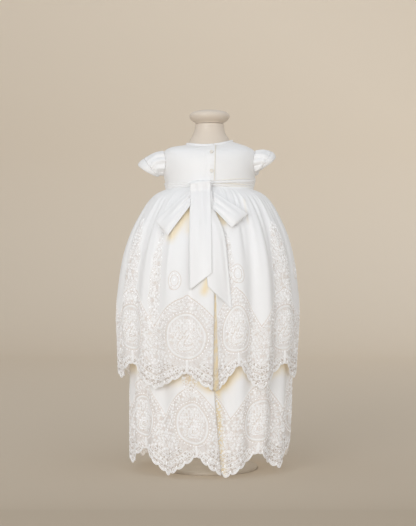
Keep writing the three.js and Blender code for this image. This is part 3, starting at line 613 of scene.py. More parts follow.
def withArmholes(points):  # moves points to the armholes' edges, and says which faces stay
    y, z = points[..., 1], points[..., 2] - armhole["centreZ"]
    radius = np.hypot(y / armhole["halfDepth"], z / armhole["halfHeight"])
    inside = (radius < 1) & (np.abs(points[..., 0]) > armhole["from"])
    corners = [inside[:-1, :-1], inside[1:, :-1], inside[1:, 1:], inside[:-1, 1:]]
    keep = ~np.logical_and.reduce(corners)
    moved = points.copy()
    scale = 1 / np.maximum(radius, 0.3)
    moved[..., 1] = np.where(inside, y * scale, y)
    moved[..., 2] = np.where(inside, z * scale, z) + armhole["centreZ"]
    reach = bodiceReach(moved[..., 1], moved[..., 2])
    moved[..., 0] = np.where(inside, np.sign(points[..., 0]) * reach, points[..., 0])
    return moved, keep


def makeBodice():
    panels = {
        "bodice_front": (90 + seam, 270 - seam, 150),
        "bodice_back_left": (-90 + seam, backSeam - seam, 82),
        "bodice_back_right": (backSeam + seam, 90 - seam, 88),
    }
    heights = np.linspace(0, necklineHeight, 61)
    for name, (start, end, count) in panels.items():
        angle, height = np.meshgrid(np.linspace(start, end, count + 1), heights, indexing="ij")
        points, keep = withArmholes(bodiceFace(angle, height))
        cloth(name, points, satin, "satin", satinThickness, held="stretched", length=0.092, fill=0.86,
              restsOn=["form_torso"], keep=keep)


# The skirt's layers

skirtThickness = 0.7
# centreX is where a ring's middle lies, and share how much of the folds it carries
ringKeys = ("z", "halfWidth", "halfDepth", "centreX", "share")
overskirtRings = named(ringKeys, [  # the first ring is tucked under the sash
    (502.6, 76.9, 61.0, 0, 0), (499.1, 78.6, 63.4, 0, 0), (495.5, 88.0, 68.5, 0, 0.02),
    (488.0, 99.5, 77.5, 0, 0.06), (475.0, 111.5, 88.5, 0, 0.15), (455.0, 124.0, 101.0, -0.3, 0.32),
    (425.0, 138.5, 116.0, -0.8, 0.58), (385.0, 151.0, 129.0, -1.4, 0.85), (335.0, 159.0, 137.0, -2, 1),
    (280.0, 163.0, 140.0, -2.5, 1), (225.0, 161.0, 139.0, -3, 1), (145.0, 157.0, 136.0, -4, 1),
])
lowerTierRings = named(ringKeys, [
    (262.0, 135.6, 116.6, 0, 0.45), (238.0, 140.5, 120.0, 1, 0.62), (205.0, 144.0, 123.5, 2.5, 0.8),
    (120.0, 144.5, 124.5, 2.5, 0.85), (2.0, 141.0, 123.0, -0.5, 0.9),
])
underskirtRings = named(ringKeys, [
    (499.1, 76.0, 61.0, 0, 0), (486.0, 91.0, 69.5, 0, 0.04), (455.0, 108.5, 88.0, 0, 0.2),
    (400.0, 122.0, 104.0, 0, 0.4), (335.0, 129.0, 110.0, 0, 0.45), (262.0, 131.2, 112.2, 0, 0.45),
    (46.0, 133.5, 114.0, 1, 0.45),
])
# folds that run down from the waist: ridges stand out, and troughs have a negative depth
foldTable = named(("at", "spread", "depth"), [
    (-168, 8, 5.5), (-155, 6, -4.5), (-141, 8, 6.0), (-128, 6, -4.0), (-116, 8, 4.5), (-103, 6, -4.0),
    (-80, 6, 2.5), (-71, 5, -4.0), (-61, 6, 5.5), (-52, 5, -4.5), (-43, 5, 3.5), (-34, 5, -3.5),
    (-22, 7, 6.5), (-11, 4, -6.0), (0, 6, 6.5), (11, 5, -3.5), (20, 5, 3.5), (29, 5, -5.5),
    (38, 5, 7.5), (48, 5, -5.0), (58, 6, 5.0), (68, 5, -3.5), (78, 6, 1.5), (105, 8, -4.5),
    (122, 8, 6.0), (139, 7, -5.0), (156, 8, 5.5), (175, 6, -4.5),
])
# smaller creases of the overskirt, each with its own length
creaseTable = named(("at", "spread", "depth", "topZ", "lowZ"), [
    (-86, 2.2, -1.8, 470, 330), (-75, 2.0, 1.6, 480, 300), (-66, 1.8, -1.6, 490, 380), (-56, 2.0, 1.8, 492, 300),
    (-47, 1.7, -1.8, 494, 340), (-39, 1.8, 1.5, 490, 250), (-30, 1.6, -2.0, 494, 380), (-26, 1.5, 1.6, 490, 300),
    (-17, 1.7, -2.0, 492, 400), (-6, 1.6, -1.4, 480, 330), (5, 1.4, 1.2, 470, 360), (15, 1.6, 1.8, 494, 380),
    (24, 1.6, -2.2, 494, 350), (26, 1.4, 1.8, 492, 420), (33, 1.8, 2.2, 495, 300), (42, 1.6, -2.0, 494, 340),
    (45, 1.5, 1.5, 490, 400), (53, 1.8, 1.8, 494, 320), (63, 1.8, -1.8, 490, 350), (72, 2.0, 1.6, 488, 300),
    (83, 2.0, -1.8, 480, 340), (95, 2.2, 1.8, 490, 320), (112, 2.0, -2.0, 492, 360), (118, 1.8, 1.6, 480, 300),
    (131, 2.0, 2.0, 494, 330), (147, 2.0, -2.0, 490, 360), (161, 1.8, 1.8, 494, 320), (168, 2.0, -1.8, 492, 380),
    (182, 2.0, 1.8, 490, 330), (198, 2.0, -2.0, 494, 360), (211, 1.8, 1.8, 488, 320), (224, 2.0, -2.0, 492, 370),
    (238, 2.0, 1.8, 494, 330), (251, 2.0, -1.8, 490, 350), (264, 2.0, 1.6, 486, 320),
])
gathers = {"count": 92, "depth": 1.1, "shortest": 22, "longest": 78, "seed": 11}
overskirtHem = {"tipZ": 149, "sideRise": 21, "depth": 35, "lifts": [(19.5, 8, 12)]}  # (angle, spread, up)
overskirtTips = [-117, -75, -35, 9]  # angles of the scallops' tips on the back's left panel
overskirtTipsRight = [3, 35, 75, 117, 159, 201, 243, 285]  # and on its right panel and round the front
lowerHem = {"tipZ": 4.5, "sideRise": 14, "depth": 37, "lifts": [(90, 5, 0)]}
lowerTips = [-120.6, -75, -30, 12, 57, 102.6, 148.2, 193.8, 239.4, 285]
overskirtSlit = {"leftEdge": 3.5, "hemGapAngle": 3.6}
lowerLap = {"meetAt": 0.5, "leftEdgeHem": 8.5, "rightEdgeHem": -3, "lapDepth": 4.5, "lapSpread": 9}
lobes = {"perScallop": 8, "depth": 6.2}


def foldAt(angle):
    return sum(row["depth"] * bump(wrapped(angle - row["at"]), row["spread"]) for row in foldTable)


def gatherTable():
    dice, count = np.random.default_rng(gathers["seed"]), gathers["count"]
    places = np.linspace(-180, 180, count, endpoint=False) + dice.uniform(-1.2, 1.2, count)
    lengths = dice.uniform(gathers["shortest"], gathers["longest"], count)
    depths = gathers["depth"] * dice.uniform(0.5, 1.3, count)
    return list(zip(places, lengths, depths))


gatherRows = gatherTable()


def smallFolds(angle, z):  # the overskirt's creases and the gathers at its waist
    total = np.zeros(np.broadcast(angle, z).shape)
    for row in creaseTable:
        window = smooth((row["topZ"] - z) / 22) * smooth((z - row["lowZ"]) / 70)
        total = total + row["depth"] * bump(wrapped(angle - row["at"]), row["spread"]) * window
    for place, length, depth in gatherRows:
        window = smooth((z - (497 - length)) / length) * smooth((501 - z) / 5)
        total = total + depth * bump(wrapped(angle - place), 1.15) * window
    return total


def skirtPoint(rings, angle, z, small=None):
    zs = column(rings, "z")
    fold = foldAt(angle) * through(zs, column(rings, "share"), z)
    if small is not None:
        fold = fold + small(angle, z)
    s, c = np.sin(np.radians(angle)), np.cos(np.radians(angle))
    x = through(zs, column(rings, "centreX"), z) + (through(zs, column(rings, "halfWidth"), z) + fold) * s
    y = -(through(zs, column(rings, "halfDepth"), z) + fold) * c
    return np.stack(np.broadcast_arrays(x, y, z), -1)


def tipLine(hem, angle):
    lifted = sum(up * bump(wrapped(angle - at), spread) for at, spread, up in hem["lifts"])
    return hem["tipZ"] + hem["sideRise"] * np.sin(np.radians(angle)) ** 2 + lifted


def hemParts(hem, tips, angle):  # heights of the smooth hem and its tips' line, and the share along a scallop
    tips = np.asarray(tips, float)
    i = np.clip(np.searchsorted(tips, angle, side="right") - 1, 0, len(tips) - 2)
    half = (tips[i + 1] - tips[i]) / 2
    fromTip = np.clip(1 - np.abs(angle - tips[i] - half) / half, 0, 1)
    line = tipLine(hem, angle)
    along = (angle - tips[i]) / (2 * half)
    return line + hem["depth"] * fromTip**scallopPower, line, along


def lobedHem(hem, tips, angle):
    level, _, along = hemParts(hem, tips, angle)
    place = (along * lobes["perScallop"] + 0.5) % 1
    return level - lobes["depth"] * (np.sqrt(np.clip(1 - (2 * place - 1) ** 2, 0, 1)) - 0.35)


def straightEdges(start, end):
    return {"fromTop": start, "fromHem": start, "toTop": end, "toHem": end}


def panelSurface(panel, angle, z):  # angle is counted at the hem, and the panel's edges may lean
    edges, low = panel["edges"], hemParts(panel["hem"], panel["tips"], angle)[0]
    level = np.clip((z - low) / (panel["rings"][0]["z"] - low), 0, 1)
    share = (angle - edges["fromHem"]) / (edges["toHem"] - edges["fromHem"])
    shift = mix(edges["fromTop"] - edges["fromHem"], edges["toTop"] - edges["toHem"], share)
    turned = angle + shift * (1 - (1 - level) ** panel.get("bend", 1))
    point = skirtPoint(panel["rings"], turned, z, panel.get("small"))
    if not panel.get("tucked"):
        return point
    past = (lowerLap["leftEdgeHem"] + lowerLap["lapSpread"] - turned) / lowerLap["lapSpread"]
    inward = lowerLap["lapDepth"] * np.clip(6 * (1 - level), 0, 1) * smooth(past)
    s, c = np.sin(np.radians(turned)), np.cos(np.radians(turned))
    return point + np.stack([-inward * s, inward * c, 0 * s], -1)


def onPanel(panel, angle, z, lift):
    surface = lambda u, v: panelSurface(panel, u, v)
    normal = normalsOf(surface, angle, z)
    return surface(angle, z) + normal * np.asarray(lift)[..., None], normal


def rowLevels(parts):  # parts are (from, to, rows)
    return np.unique(np.concatenate([np.linspace(a, b, n + 1) for a, b, n in parts]).round(6))


frontEdges = straightEdges(90 + seam, 270 - seam)
slitStart = overskirtSlit["leftEdge"]
overskirtPanels = {
    "overskirt_front": {"edges": frontEdges, "tips": overskirtTipsRight},
    "overskirt_back_left": {"edges": straightEdges(-90 + seam, slitStart), "tips": overskirtTips},
    "overskirt_back_right": {
        "edges": {**straightEdges(slitStart + 2 * seam, 90 - seam),
                  "fromHem": slitStart + overskirtSlit["hemGapAngle"]},
        "tips": overskirtTipsRight,
        "bend": 2,
    },
}
lowerPanels = {
    "lower_tier_front": {"edges": frontEdges},
    "lower_tier_back_left": {
        "edges": {**straightEdges(-90 + seam, lowerLap["meetAt"] - seam), "toHem": lowerLap["leftEdgeHem"]},
    },
    "lower_tier_back_right": {
        "edges": {**straightEdges(lowerLap["meetAt"] + seam, 90 - seam), "fromHem": lowerLap["rightEdgeHem"]},
        "tucked": True,
    },
}
underPanels = {
    "underskirt_front": frontEdges,
    "underskirt_back_left": straightEdges(-90 + seam, -seam),
    "underskirt_back_right": straightEdges(seam, 90 - seam),
}
for panel in overskirtPanels.values():
    panel.update(rings=overskirtRings, hem=overskirtHem, small=smallFolds)
for panel in lowerPanels.values():
    panel.update(rings=lowerTierRings, hem=lowerHem, tips=lowerTips, bend=2)

slitPaintedShade = {"at": 5.2, "spread": 4.5, "lowZ": 140, "highZ": 480, "amount": 0.95}  # painted shade between the layers behind the slit
paintedShadeLines = [  # likewise painted shade on the overskirt, beside the bow: (x, z) of both ends, spread and amount
    ((-31, 466), (-66, 412), 7.0, 0.75), ((-28, 455), (-36, 425), 8.0, 0.35), ((5, 462), (24, 438), 6.0, 0.75),
    ((-2, 341), (-9, 320), 6.5, 0.85), ((60, 478), (66, 440), 2.0, 0.2),
]


def ogee(plan, across):  # the upper outline of the lace; across is 0 over a notch and 1 over a tip
    return plan["ogeeLow"] + plan["ogeeRise"] * (1 - np.abs(across) ** ogeePower) + 4 * bump(across, 0.07)


def motifTones(panel, angle, z):
    _, line, along = hemParts(panel["hem"], panel["tips"], angle)
    return {"across": np.abs(2 * along - 1) + 0 * z, "rise": (z - line) * mm}


def paintedShadeBehindSlit(angle, z):
    window = smooth((z - slitPaintedShade["lowZ"]) / 25) * smooth((slitPaintedShade["highZ"] - z) / 25)
    return slitPaintedShade["amount"] * bump(wrapped(angle - slitPaintedShade["at"]), slitPaintedShade["spread"]) * window


def paintedShadeOfLines(points):
    total = np.zeros(points.shape[:-1])
    for first, last, spread, amount in paintedShadeLines:
        first, last = np.array(first, float), np.array(last, float)
        way = last - first
        flat = points[..., [0, 2]] - first
        t = np.clip(flat @ way / (way @ way), 0, 1)
        total += amount * bump(np.linalg.norm(flat - t[..., None] * way, axis=-1), spread)
    return np.where(points[..., 1] < 0, total, 0)


def paintedShadeUnderHem(angle, z):  # the lower tier carries yellowish painted shade under the overskirt's hem
    turned = np.where(angle < slitStart, angle, np.maximum(angle, slitStart + 1.6))
    left, right = (hemParts(overskirtHem, tips, turned)[0] for tips in (overskirtTips, overskirtTipsRight))
    above = z - np.where(turned < slitStart + 1, left, right)
    return 0.62 * smooth((above + 32) / 30) * smooth((z - tipLine(overskirtHem, turned) + 2) / 22)


def overskirtPaintedShade(name, angle, z, points):
    return paintedShadeOfLines(points) if name.startswith("overskirt_back") else np.zeros(z.shape)


def lowerPaintedShade(name, angle, z, points):
    paintedShadeAndGlow = paintedShadeBehindSlit(angle, z) + paintedShadeUnderHem(angle, z)
    if name == "lower_tier_back_right":  # painted shade along the lap
        lapAt = 22 - 9 * np.clip(z / 140, 0, 1)
        paintedShadeAndGlow = paintedShadeAndGlow + 0.8 * bump(points[..., 0] - lapAt, 6.0)
    return paintedShadeAndGlow


skirtLayers = [
    {
        "panels": overskirtPanels, "columnStep": 0.5, "paintedShadeAndGlow": overskirtPaintedShade,
        "levels": rowLevels([(0, 0.02, 3), (0.02, 0.5, 30), (0.5, 0.84, 16), (0.84, 1, 18)]),
        "material": upperLace, "slot": "tulle", "length": 0.36,
    },
    {
        "panels": lowerPanels, "columnStep": 0.56, "paintedShadeAndGlow": lowerPaintedShade,
        "levels": rowLevels([(0, 0.03, 4), (0.03, 0.62, 26), (0.62, 1, 8)]),
        "material": lowerLace, "slot": "lace", "length": 0.26,
    },
]


def makeSkirtLayer(layer):
    for name, panel in layer["panels"].items():
        start, end = panel["edges"]["fromHem"], panel["edges"]["toHem"]
        angles = np.linspace(start, end, int(round((end - start) / layer["columnStep"])) + 1)
        low = lobedHem(panel["hem"], panel["tips"], angles)[:, None]
        z = mix(low, panel["rings"][0]["z"], layer["levels"][None, :])
        angle = np.broadcast_to(angles[:, None], z.shape)
        points = panelSurface(panel, angle, z)
        tones = motifTones(panel, angle, z)
        tones["paintedShadeAndGlow"] = layer["paintedShadeAndGlow"](name, angle, z, points)
        tones["panel"] = inColumns(panel, angle, z)
        under = name.replace("overskirt", "underskirt").replace("lower_tier", "underskirt")
        cloth(name, points, layer["material"], layer["slot"], skirtThickness, held="gathered",
              length=layer["length"], fill=0.93, restsOn=[under], tones=tones)


underlap = {"from": 1.2, "to": 11.0, "inside": 2.2, "topZ": 478.0}


def makeUnderlap():  # the strip behind the slit, sewn to the left panel's edge
    panel = overskirtPanels["overskirt_back_left"]
    angles = np.linspace(underlap["from"], underlap["to"], 29)
    levels = rowLevels([(0, 0.03, 4), (0.03, 1, 60)])
    low = lobedHem(overskirtHem, overskirtTipsRight, angles)[:, None]
    low = np.where(angles[:, None] < 5, overskirtHem["tipZ"] + 3, low)
    z = mix(low, underlap["topZ"], levels[None, :])
    angle = np.broadcast_to(angles[:, None], z.shape)
    normal = normalsOf(lambda u, v: skirtPoint(overskirtRings, u, v), angle, z)
    joined = 1 - 0.75 * smooth((2.6 - angle) / 1.4)
    points = skirtPoint(overskirtRings, angle, z) - normal * (underlap["inside"] * joined)[..., None]
    tones = {**motifTones(panel, np.minimum(angle, 4.9), z), "panel": np.ones(z.shape)}
    # mottled yellowish painted shade over the strip in the slit
    tones["paintedShadeAndGlow"] = 0.62 + 0.3 * np.sin(z / 2.1 + 3 * np.sin(z / 6.7 + angle / 1.3))
    cloth("overskirt_underlap", points, upperLace, "tulle", skirtThickness, held="hung", length=0.34, fill=0.95,
          restsOn=["underskirt_back_right"], stands=False, tones=tones)


def makeUnderskirt():
    top, low = underskirtRings[0]["z"], underskirtRings[-1]["z"]
    levels = rowLevels([(0, 0.8, 20), (0.8, 1, 12)])
    for name, edges in underPanels.items():
        start, end = edges["fromHem"], edges["toHem"]
        angles = np.linspace(start, end, int(abs(end - start) / 1.2) + 1)
        angle, z = np.meshgrid(angles, mix(low, top, levels), indexing="ij")
        points = skirtPoint(underskirtRings, angle, z)
        cloth(name, points, lining, "satin", skirtThickness, held="hung", length=0.46, fill=0.95,
              restsOn=["form_torso"], tones={"paintedShadeAndGlow": paintedShadeBehindSlit(angle, z)})


# Lace: strokes and sequins of one repeat, as lists of (x, h)

def resampled(points, step):
    points = np.asarray(points, float)
    lengths = np.r_[0, np.cumsum(np.linalg.norm(np.diff(points, axis=0), axis=1))]
    count = max(3, int(round(lengths[-1] / step)) + 1)
    at = np.linspace(0, lengths[-1], count)
    return np.stack([np.interp(at, lengths, points[:, k]) for k in range(points.shape[1])], -1)


def oval(x, h, rx, ry):
    t = np.radians(np.linspace(0, 360, 49))
    return np.stack([x + rx * np.cos(t), h + ry * np.sin(t)], -1)


def turnedTo(x, h, outline, turn):  # an outline turned about its root, which is moved to (x, h)
    c, s = math.cos(math.radians(turn)), math.sin(math.radians(turn))
    return np.stack([x + outline[:, 0] * c - outline[:, 1] * s, h + outline[:, 0] * s + outline[:, 1] * c], -1)


def leaf(x, h, length, width, turn):  # a closed pointed leaf from its root
    t = np.linspace(0, 1, 12)
    side = width / 2 * np.sin(math.pi * t**0.8)
    outline = np.concatenate([np.stack([length * t, side], -1), np.stack([length * t, -side], -1)[::-1]])
    return turnedTo(x, h, outline, turn)


def scroll(x, h, size, turn, way):  # a curl that winds in from its root
    t = np.linspace(0, 1, 30)
    radius = size * (1 - 0.8 * t)
    angle = np.radians(turn) + way * (t * 1.55 * 2 * math.pi)
    centre = np.array([x - size * math.cos(math.radians(turn)), h - size * math.sin(math.radians(turn))])
    return centre + np.stack([radius * np.cos(angle), radius * np.sin(angle)], -1)


def paisley(x, h, size, turn, way):
    t = np.linspace(0, 2 * math.pi, 30)
    side = way * size * 0.42 * np.sin(t) * (1 - np.cos(t)) * 0.75
    drop = np.stack([size * (np.cos(t) * 0.6 + 0.4), side], -1)
    drop[:, 1] += way * 0.35 * (size - drop[:, 0]) ** 2 / (2 * size)
    return turnedTo(x, h, drop, turn)


def hemCurve(plan, x):
    share = np.clip(1 - np.abs(2 * x / plan["width"]), 0, 1)
    return plan["hemDepth"] * share**scallopPower


def insideOval(plan, x, h, grow):
    return (x / (plan["ovalWide"] + grow)) ** 2 + ((h - plan["ovalH"]) / (plan["ovalHigh"] + grow)) ** 2 < 1


cordLooks = {  # half width, height and material
    "white": (0.70, 0.42, whiteCord),
    "ivory": (0.50, 0.30, ivoryCord),
    "bold": (1.0, 0.6, whiteCord),
    "rim": (1.8, 0.6, whiteCord),
}


def newArt():
    return {"white": [], "ivory": [], "bold": [], "rim": [], "dots": []}


def addFigure(art, dice, x, h, size):  # one small figure of the lace: a ring, a curl, a leaf or a paisley
    kind, turn, way = dice.random(), float(dice.uniform(0, 360)), 1 if dice.random() < 0.5 else -1
    c, s = math.cos(math.radians(turn)), math.sin(math.radians(turn))
    if kind < 0.36:
        art["white"].append(oval(x, h, size * 0.42, size * 0.42))
        if kind < 0.14:
            art["dots"].append((x, h, 1.3))
    elif kind < 0.47:
        art["ivory"].append(scroll(x + size * 0.45 * c, h + size * 0.45 * s, size * 0.5, turn, way))
    elif kind < 0.85:
        art["white"].append(leaf(x - c * size * 0.55, h - s * size * 0.55, size * 1.15, size * 0.5, turn))
        vein = [(x - c * size * 0.5, h - s * size * 0.5), (x + c * size * 0.4, h + s * size * 0.4)]
        art["white"].append(vein)
    else:
        art["white"].append(paisley(x - size * 0.3, h, size * 0.75, turn, way))
        art["dots"].append((x + size * 0.1, h, 1.3))


def fillArea(art, inside, bounds, pitch, seed):  # figures on a loose triangular grid where inside(x, h) is true
    dice = np.random.default_rng(seed)
    left, right, low, high = bounds
    for row in range(int((high - low) / (pitch * 0.87)) + 1):
        h = low + pitch * 0.87 * row
        for k in range(int((right - left) / pitch) + 2):
            x = left + pitch * (k - 0.5 * (row % 2))
            px, ph = x + dice.uniform(-0.12, 0.12) * pitch, h + dice.uniform(-0.12, 0.12) * pitch
            if bool(inside(px, ph)):
                addFigure(art, dice, px, ph, pitch * dice.uniform(0.82, 1.0))


def freeRuns(free, longerThan):  # the stretches of a line where free is true, as (from, to)
    cuts = np.flatnonzero(np.diff(np.r_[False, free, False].astype(int)))
    return [(a, b) for a, b in zip(cuts[::2], cuts[1::2]) if b - a > longerThan]


def heightOfHem(plan, x):
    return float(hemCurve(plan, np.array([x]))[0])


def addHemRows(art, plan):  # the picot edge, rows that follow the hem, and bars and dashes between them
    half = plan["width"] / 2
    across = np.linspace(-half, half, 241)
    hem = hemCurve(plan, across)
    lobe = plan["width"] / lobes["perScallop"]
    phase = (across / plan["width"] + 0.5) * lobes["perScallop"] + 0.5
    dip = np.sqrt(np.clip(1 - (2 * (phase % 1) - 1) ** 2, 0, 1)) - 0.35
    art["bold"].append(np.stack([across, hem - lobes["depth"] * dip + 1.0], -1))
    art["white"].append(np.stack([across, hem - lobes["depth"] * dip + 3.2], -1))
    for k in range(lobes["perScallop"]):
        x = -half + lobe * k
        h = heightOfHem(plan, x)
        art["white"].append(oval(x, h + 2.0, 2.5, 2.2))
        art["dots"].append((x + lobe / 2, heightOfHem(plan, x + lobe / 2) + 4.4, 1.4))
        for step in range(5):
            turn = math.radians(90 + (step - 2) * 26)
            c, lift = math.cos(turn), math.sin(turn)
            art["white"].append([(x + 4.2 * c, h + 3.0 + 4.2 * lift), (x + 7.4 * c, h + 3.0 + 7.4 * lift)])
    clear = lambda x, h: np.logical_not(insideOval(plan, x, h, 15.5)) & (h < ogee(plan, x / half) - 3)
    lines = (("bold", 12.2, 1.6), ("white", 19.2, -1.6), ("ivory", 21.0, -1.6), ("bold", 29.5, 1.2))
    for kind, up, swing in lines:
        h = hem + up + swing * (np.abs(np.sin(phase * math.pi)) - 0.5)
        art[kind] += [np.stack([across[a:b], h[a:b]], -1) for a, b in freeRuns(clear(across, h), 3)]
    for up, pitch, radius in ((15.8, 6.1, 2.0), (25.2, 6.6, 2.5), (34.2, 6.3, 2.2)):
        count = int(plan["width"] / pitch)
        for k in range(count):
            x = -half + plan["width"] * (k + 0.5) / count
            h = heightOfHem(plan, x) + up
            if clear(x, h):
                art["white"].append(oval(x, h, radius, radius))
                if k % 2:
                    art["dots"].append((x, h, 1.25))
    for side in (-1, 1):
        for k in range(8):
            x = side * (3.6 + 3.1 * k)
            h = heightOfHem(plan, x) + 7.0
            art["bold"].append([(x, h), (x + side * 1.2, h + 2.6), (x + side * 3.6, h + 5.2)])
    for x in (-1.1, 0, 1.1):
        art["bold"].append([(x, plan["hemDepth"] + 1), (x, plan["ovalH"] - plan["ovalHigh"] - 5)])


def egg(x, h, rx, ry):  # a hand-drawn oval, narrower at the top
    t = np.radians(np.linspace(0, 360, 73))
    across = rx * np.cos(t) * (1 - 0.09 * np.sin(t)) * (1 + 0.018 * np.sin(5 * t + 1))
    return np.stack([x + across, h + ry * np.sin(t) * (1 + 0.012 * np.cos(4 * t))], -1)


def addMedallion(art, plan):  # the oval with its leaves and paisleys
    centre, wide, high = plan["ovalH"], plan["ovalWide"], plan["ovalHigh"]
    art["ivory"].append(egg(0, centre, wide + 2.6, high + 2.6))
    art["rim"].append(egg(0, centre, wide - 0.6, high - 0.6))
    beads = 44
    for k in range(beads):  # a ring of sequins of two sizes
        t, size = 2 * math.pi * k / beads, 1.4 if k % 2 else 1.1
        art["dots"].append(((wide + 5.0) * math.cos(t), centre + (high + 5.0) * math.sin(t), size))
    for size, kind in ((30, "ivory"), (26.5, "white"), (21, "white"), (17, "ivory"), (11, "white")):
        art[kind].append(paisley(3 + 0.2 * (30 - size), centre - 19 + 0.5 * (30 - size), size, 98, 1))
    for size, kind in ((17, "white"), (13.5, "ivory"), (8, "white")):
        art[kind].append(paisley(-13 + 0.1 * (17 - size), centre - 4 + 0.5 * (17 - size), size, 80, -1))
    around = lambda x, h: (x / (wide - 5)) ** 2 + ((h - centre) / (high - 5)) ** 2 < 1
    fillArea(art, around, (-wide, wide, centre - high, centre + high), 5.6, 61)
    for k in range(-5, 6):
        x = k * 4.3
        reach = (high - 6) * math.sqrt(max(0, 1 - (x / (wide - 3)) ** 2))
        art["white"].append([(x, centre + reach * 0.98), (x + 0.5, centre + reach * 0.35)])
        if k % 2:
            art["dots"].append((x, centre + reach * 0.2 * math.sin(k), 1.15))


def repeatArt(plan):
    art = newArt()
    half = plan["width"] / 2
    addHemRows(art, plan)
    addMedallion(art, plan)
    across = np.linspace(-half, half, 181)
    edge = ogee(plan, across / half)
    for kind, down in (("ivory", 0.8), ("ivory", 2.0), ("white", 3.6)):
        art[kind].append(np.stack([across, edge - down], -1))
    for x, h in resampled(np.stack([across, edge], -1), 5.4)[1:-1]:
        art["white"].append(oval(x, h + 1.7, 2.1, 2.1))
        art["dots"].append((x, h - 5.4, 1.25))
    between = lambda x, h: (not insideOval(plan, x, h, 8.6) and h < ogee(plan, x / half) - 8.2 and abs(x) < half
                            and h > heightOfHem(plan, x) + 38.5)
    fillArea(art, between, (-half, half, 36, 170), 6.4, 21)
    return art


# tall panels of lace above the scallops: heights are above the line of the tips
panelKeys = ("at", "wide", "low", "high", "seed")
lacePanels = named(panelKeys, [
    (-35, 21, 103, 262, 31), (-61, 45, 138, 280, 32), (14.5, 21, 158, 258, 34), (56, 44, 140, 276, 35),
    (97, 34, 142, 262, 36), (138, 24, 150, 250, 37), (180, 36, 146, 272, 38), (222, 24, 150, 250, 39),
    (263, 34, 142, 262, 40),
])
lowerLacePanels = named(panelKeys, [
    ((a + b) / 2, 25, 138, 196, 51 + i) for i, (a, b) in enumerate(zip(lowerTips[:-1], lowerTips[1:]))
])
rosetteTurns = [-20.5, 20.5, 77, 118, 159, 201, 242]
for panel in overskirtPanels.values():  # perMm is the degrees for each millimetre
    panel.update(lacePanels=lacePanels, perMm=40 / motifPlans["upper"]["width"], rosettes=rosetteTurns)
for panel in lowerPanels.values():
    panel.update(lacePanels=lowerLacePanels, perMm=45.6 / motifPlans["lower"]["width"], rosettes=[])


def columnHalf(row, h):  # half the width of such a panel at a height
    t = np.clip((h - row["low"]) / (row["high"] - row["low"]), 0, 1)
    taper = np.sqrt(np.clip(1 - np.clip((t - 0.35) / 0.65, 0, 1) ** 1.8, 0, 1))
    return row["wide"] / 2 * taper * (1 + 0.10 * np.sin(h / 5.6 + row["seed"]))


def columnArt(row):
    art = newArt()
    h = np.linspace(row["low"], row["high"] - 0.5, 90)
    half = columnHalf(row, h)
    for side in (-1, 1):
        for x, ph in resampled(np.stack([side * np.maximum(half - 1.5, 0), h], -1), 5.2):
            art["white"].append(oval(x, ph, 2.1, 2.3))
    art["white"].append(np.stack([0.22 * half * np.sin(h / 9 + row["seed"]), h], -1))
    inside = lambda x, ph: abs(x) < columnHalf(row, ph) - 3.4 and row["low"] < ph < row["high"] - 3
    fillArea(art, inside, (-row["wide"] / 2, row["wide"] / 2, row["low"], row["high"]), 6.6, row["seed"])
    beads = resampled(np.stack([half + 1.8, h], -1), 8.0)
    for k, (x, ph) in enumerate(beads):
        art["dots"].append(((x - 3.4) * (1 if k % 2 else -1), ph, 1.45))
    return art


def rosetteArt(plan):  # a small oval flower that lies alone on the plain net above the scallops
    art = newArt()
    middle = plan["ogeeLow"] + plan["ogeeRise"] + 26
    for kind, size in (("ivory", 1.0), ("white", 0.86), ("ivory", 0.6), ("white", 0.46)):
        art[kind].append(oval(0, middle, 10.5 * size, 16 * size))
    art["white"].append(scroll(3, middle + 15, 4.5, 70, 1))
    art["ivory"].append(scroll(-8, middle - 15, 4.0, 200, -1))
    for k in range(7):
        t = 2 * math.pi * k / 7
        art["dots"].append((7.6 * math.cos(t), middle + 11.6 * math.sin(t), 1.25))
    art["dots"].append((0, middle, 1.6))
    return art


def inColumns(panel, angle, z):  # 1 where the cloth carries one of the tall panels
    total = np.zeros(np.broadcast(angle, z).shape)
    line = tipLine(panel["hem"], angle)
    for row in panel["lacePanels"]:
        for turn in (0, 360):
            away = np.abs(angle + turn - row["at"]) / panel["perMm"]
            within = (z - line > row["low"] - 2) & (z - line < row["high"])
            total = np.maximum(total, np.where(within, smooth((columnHalf(row, z - line) - away) / 2 + 0.5), 0))
    return total


# how strokes are laid on the cloth: a cord's step, how far a repeat reaches, and the clear edges
laying = {"step": 2.7, "reach": 60, "edge": 0.25, "top": 4, "beadEdge": 0.3, "lift": 0.1, "beadLift": 0.35}


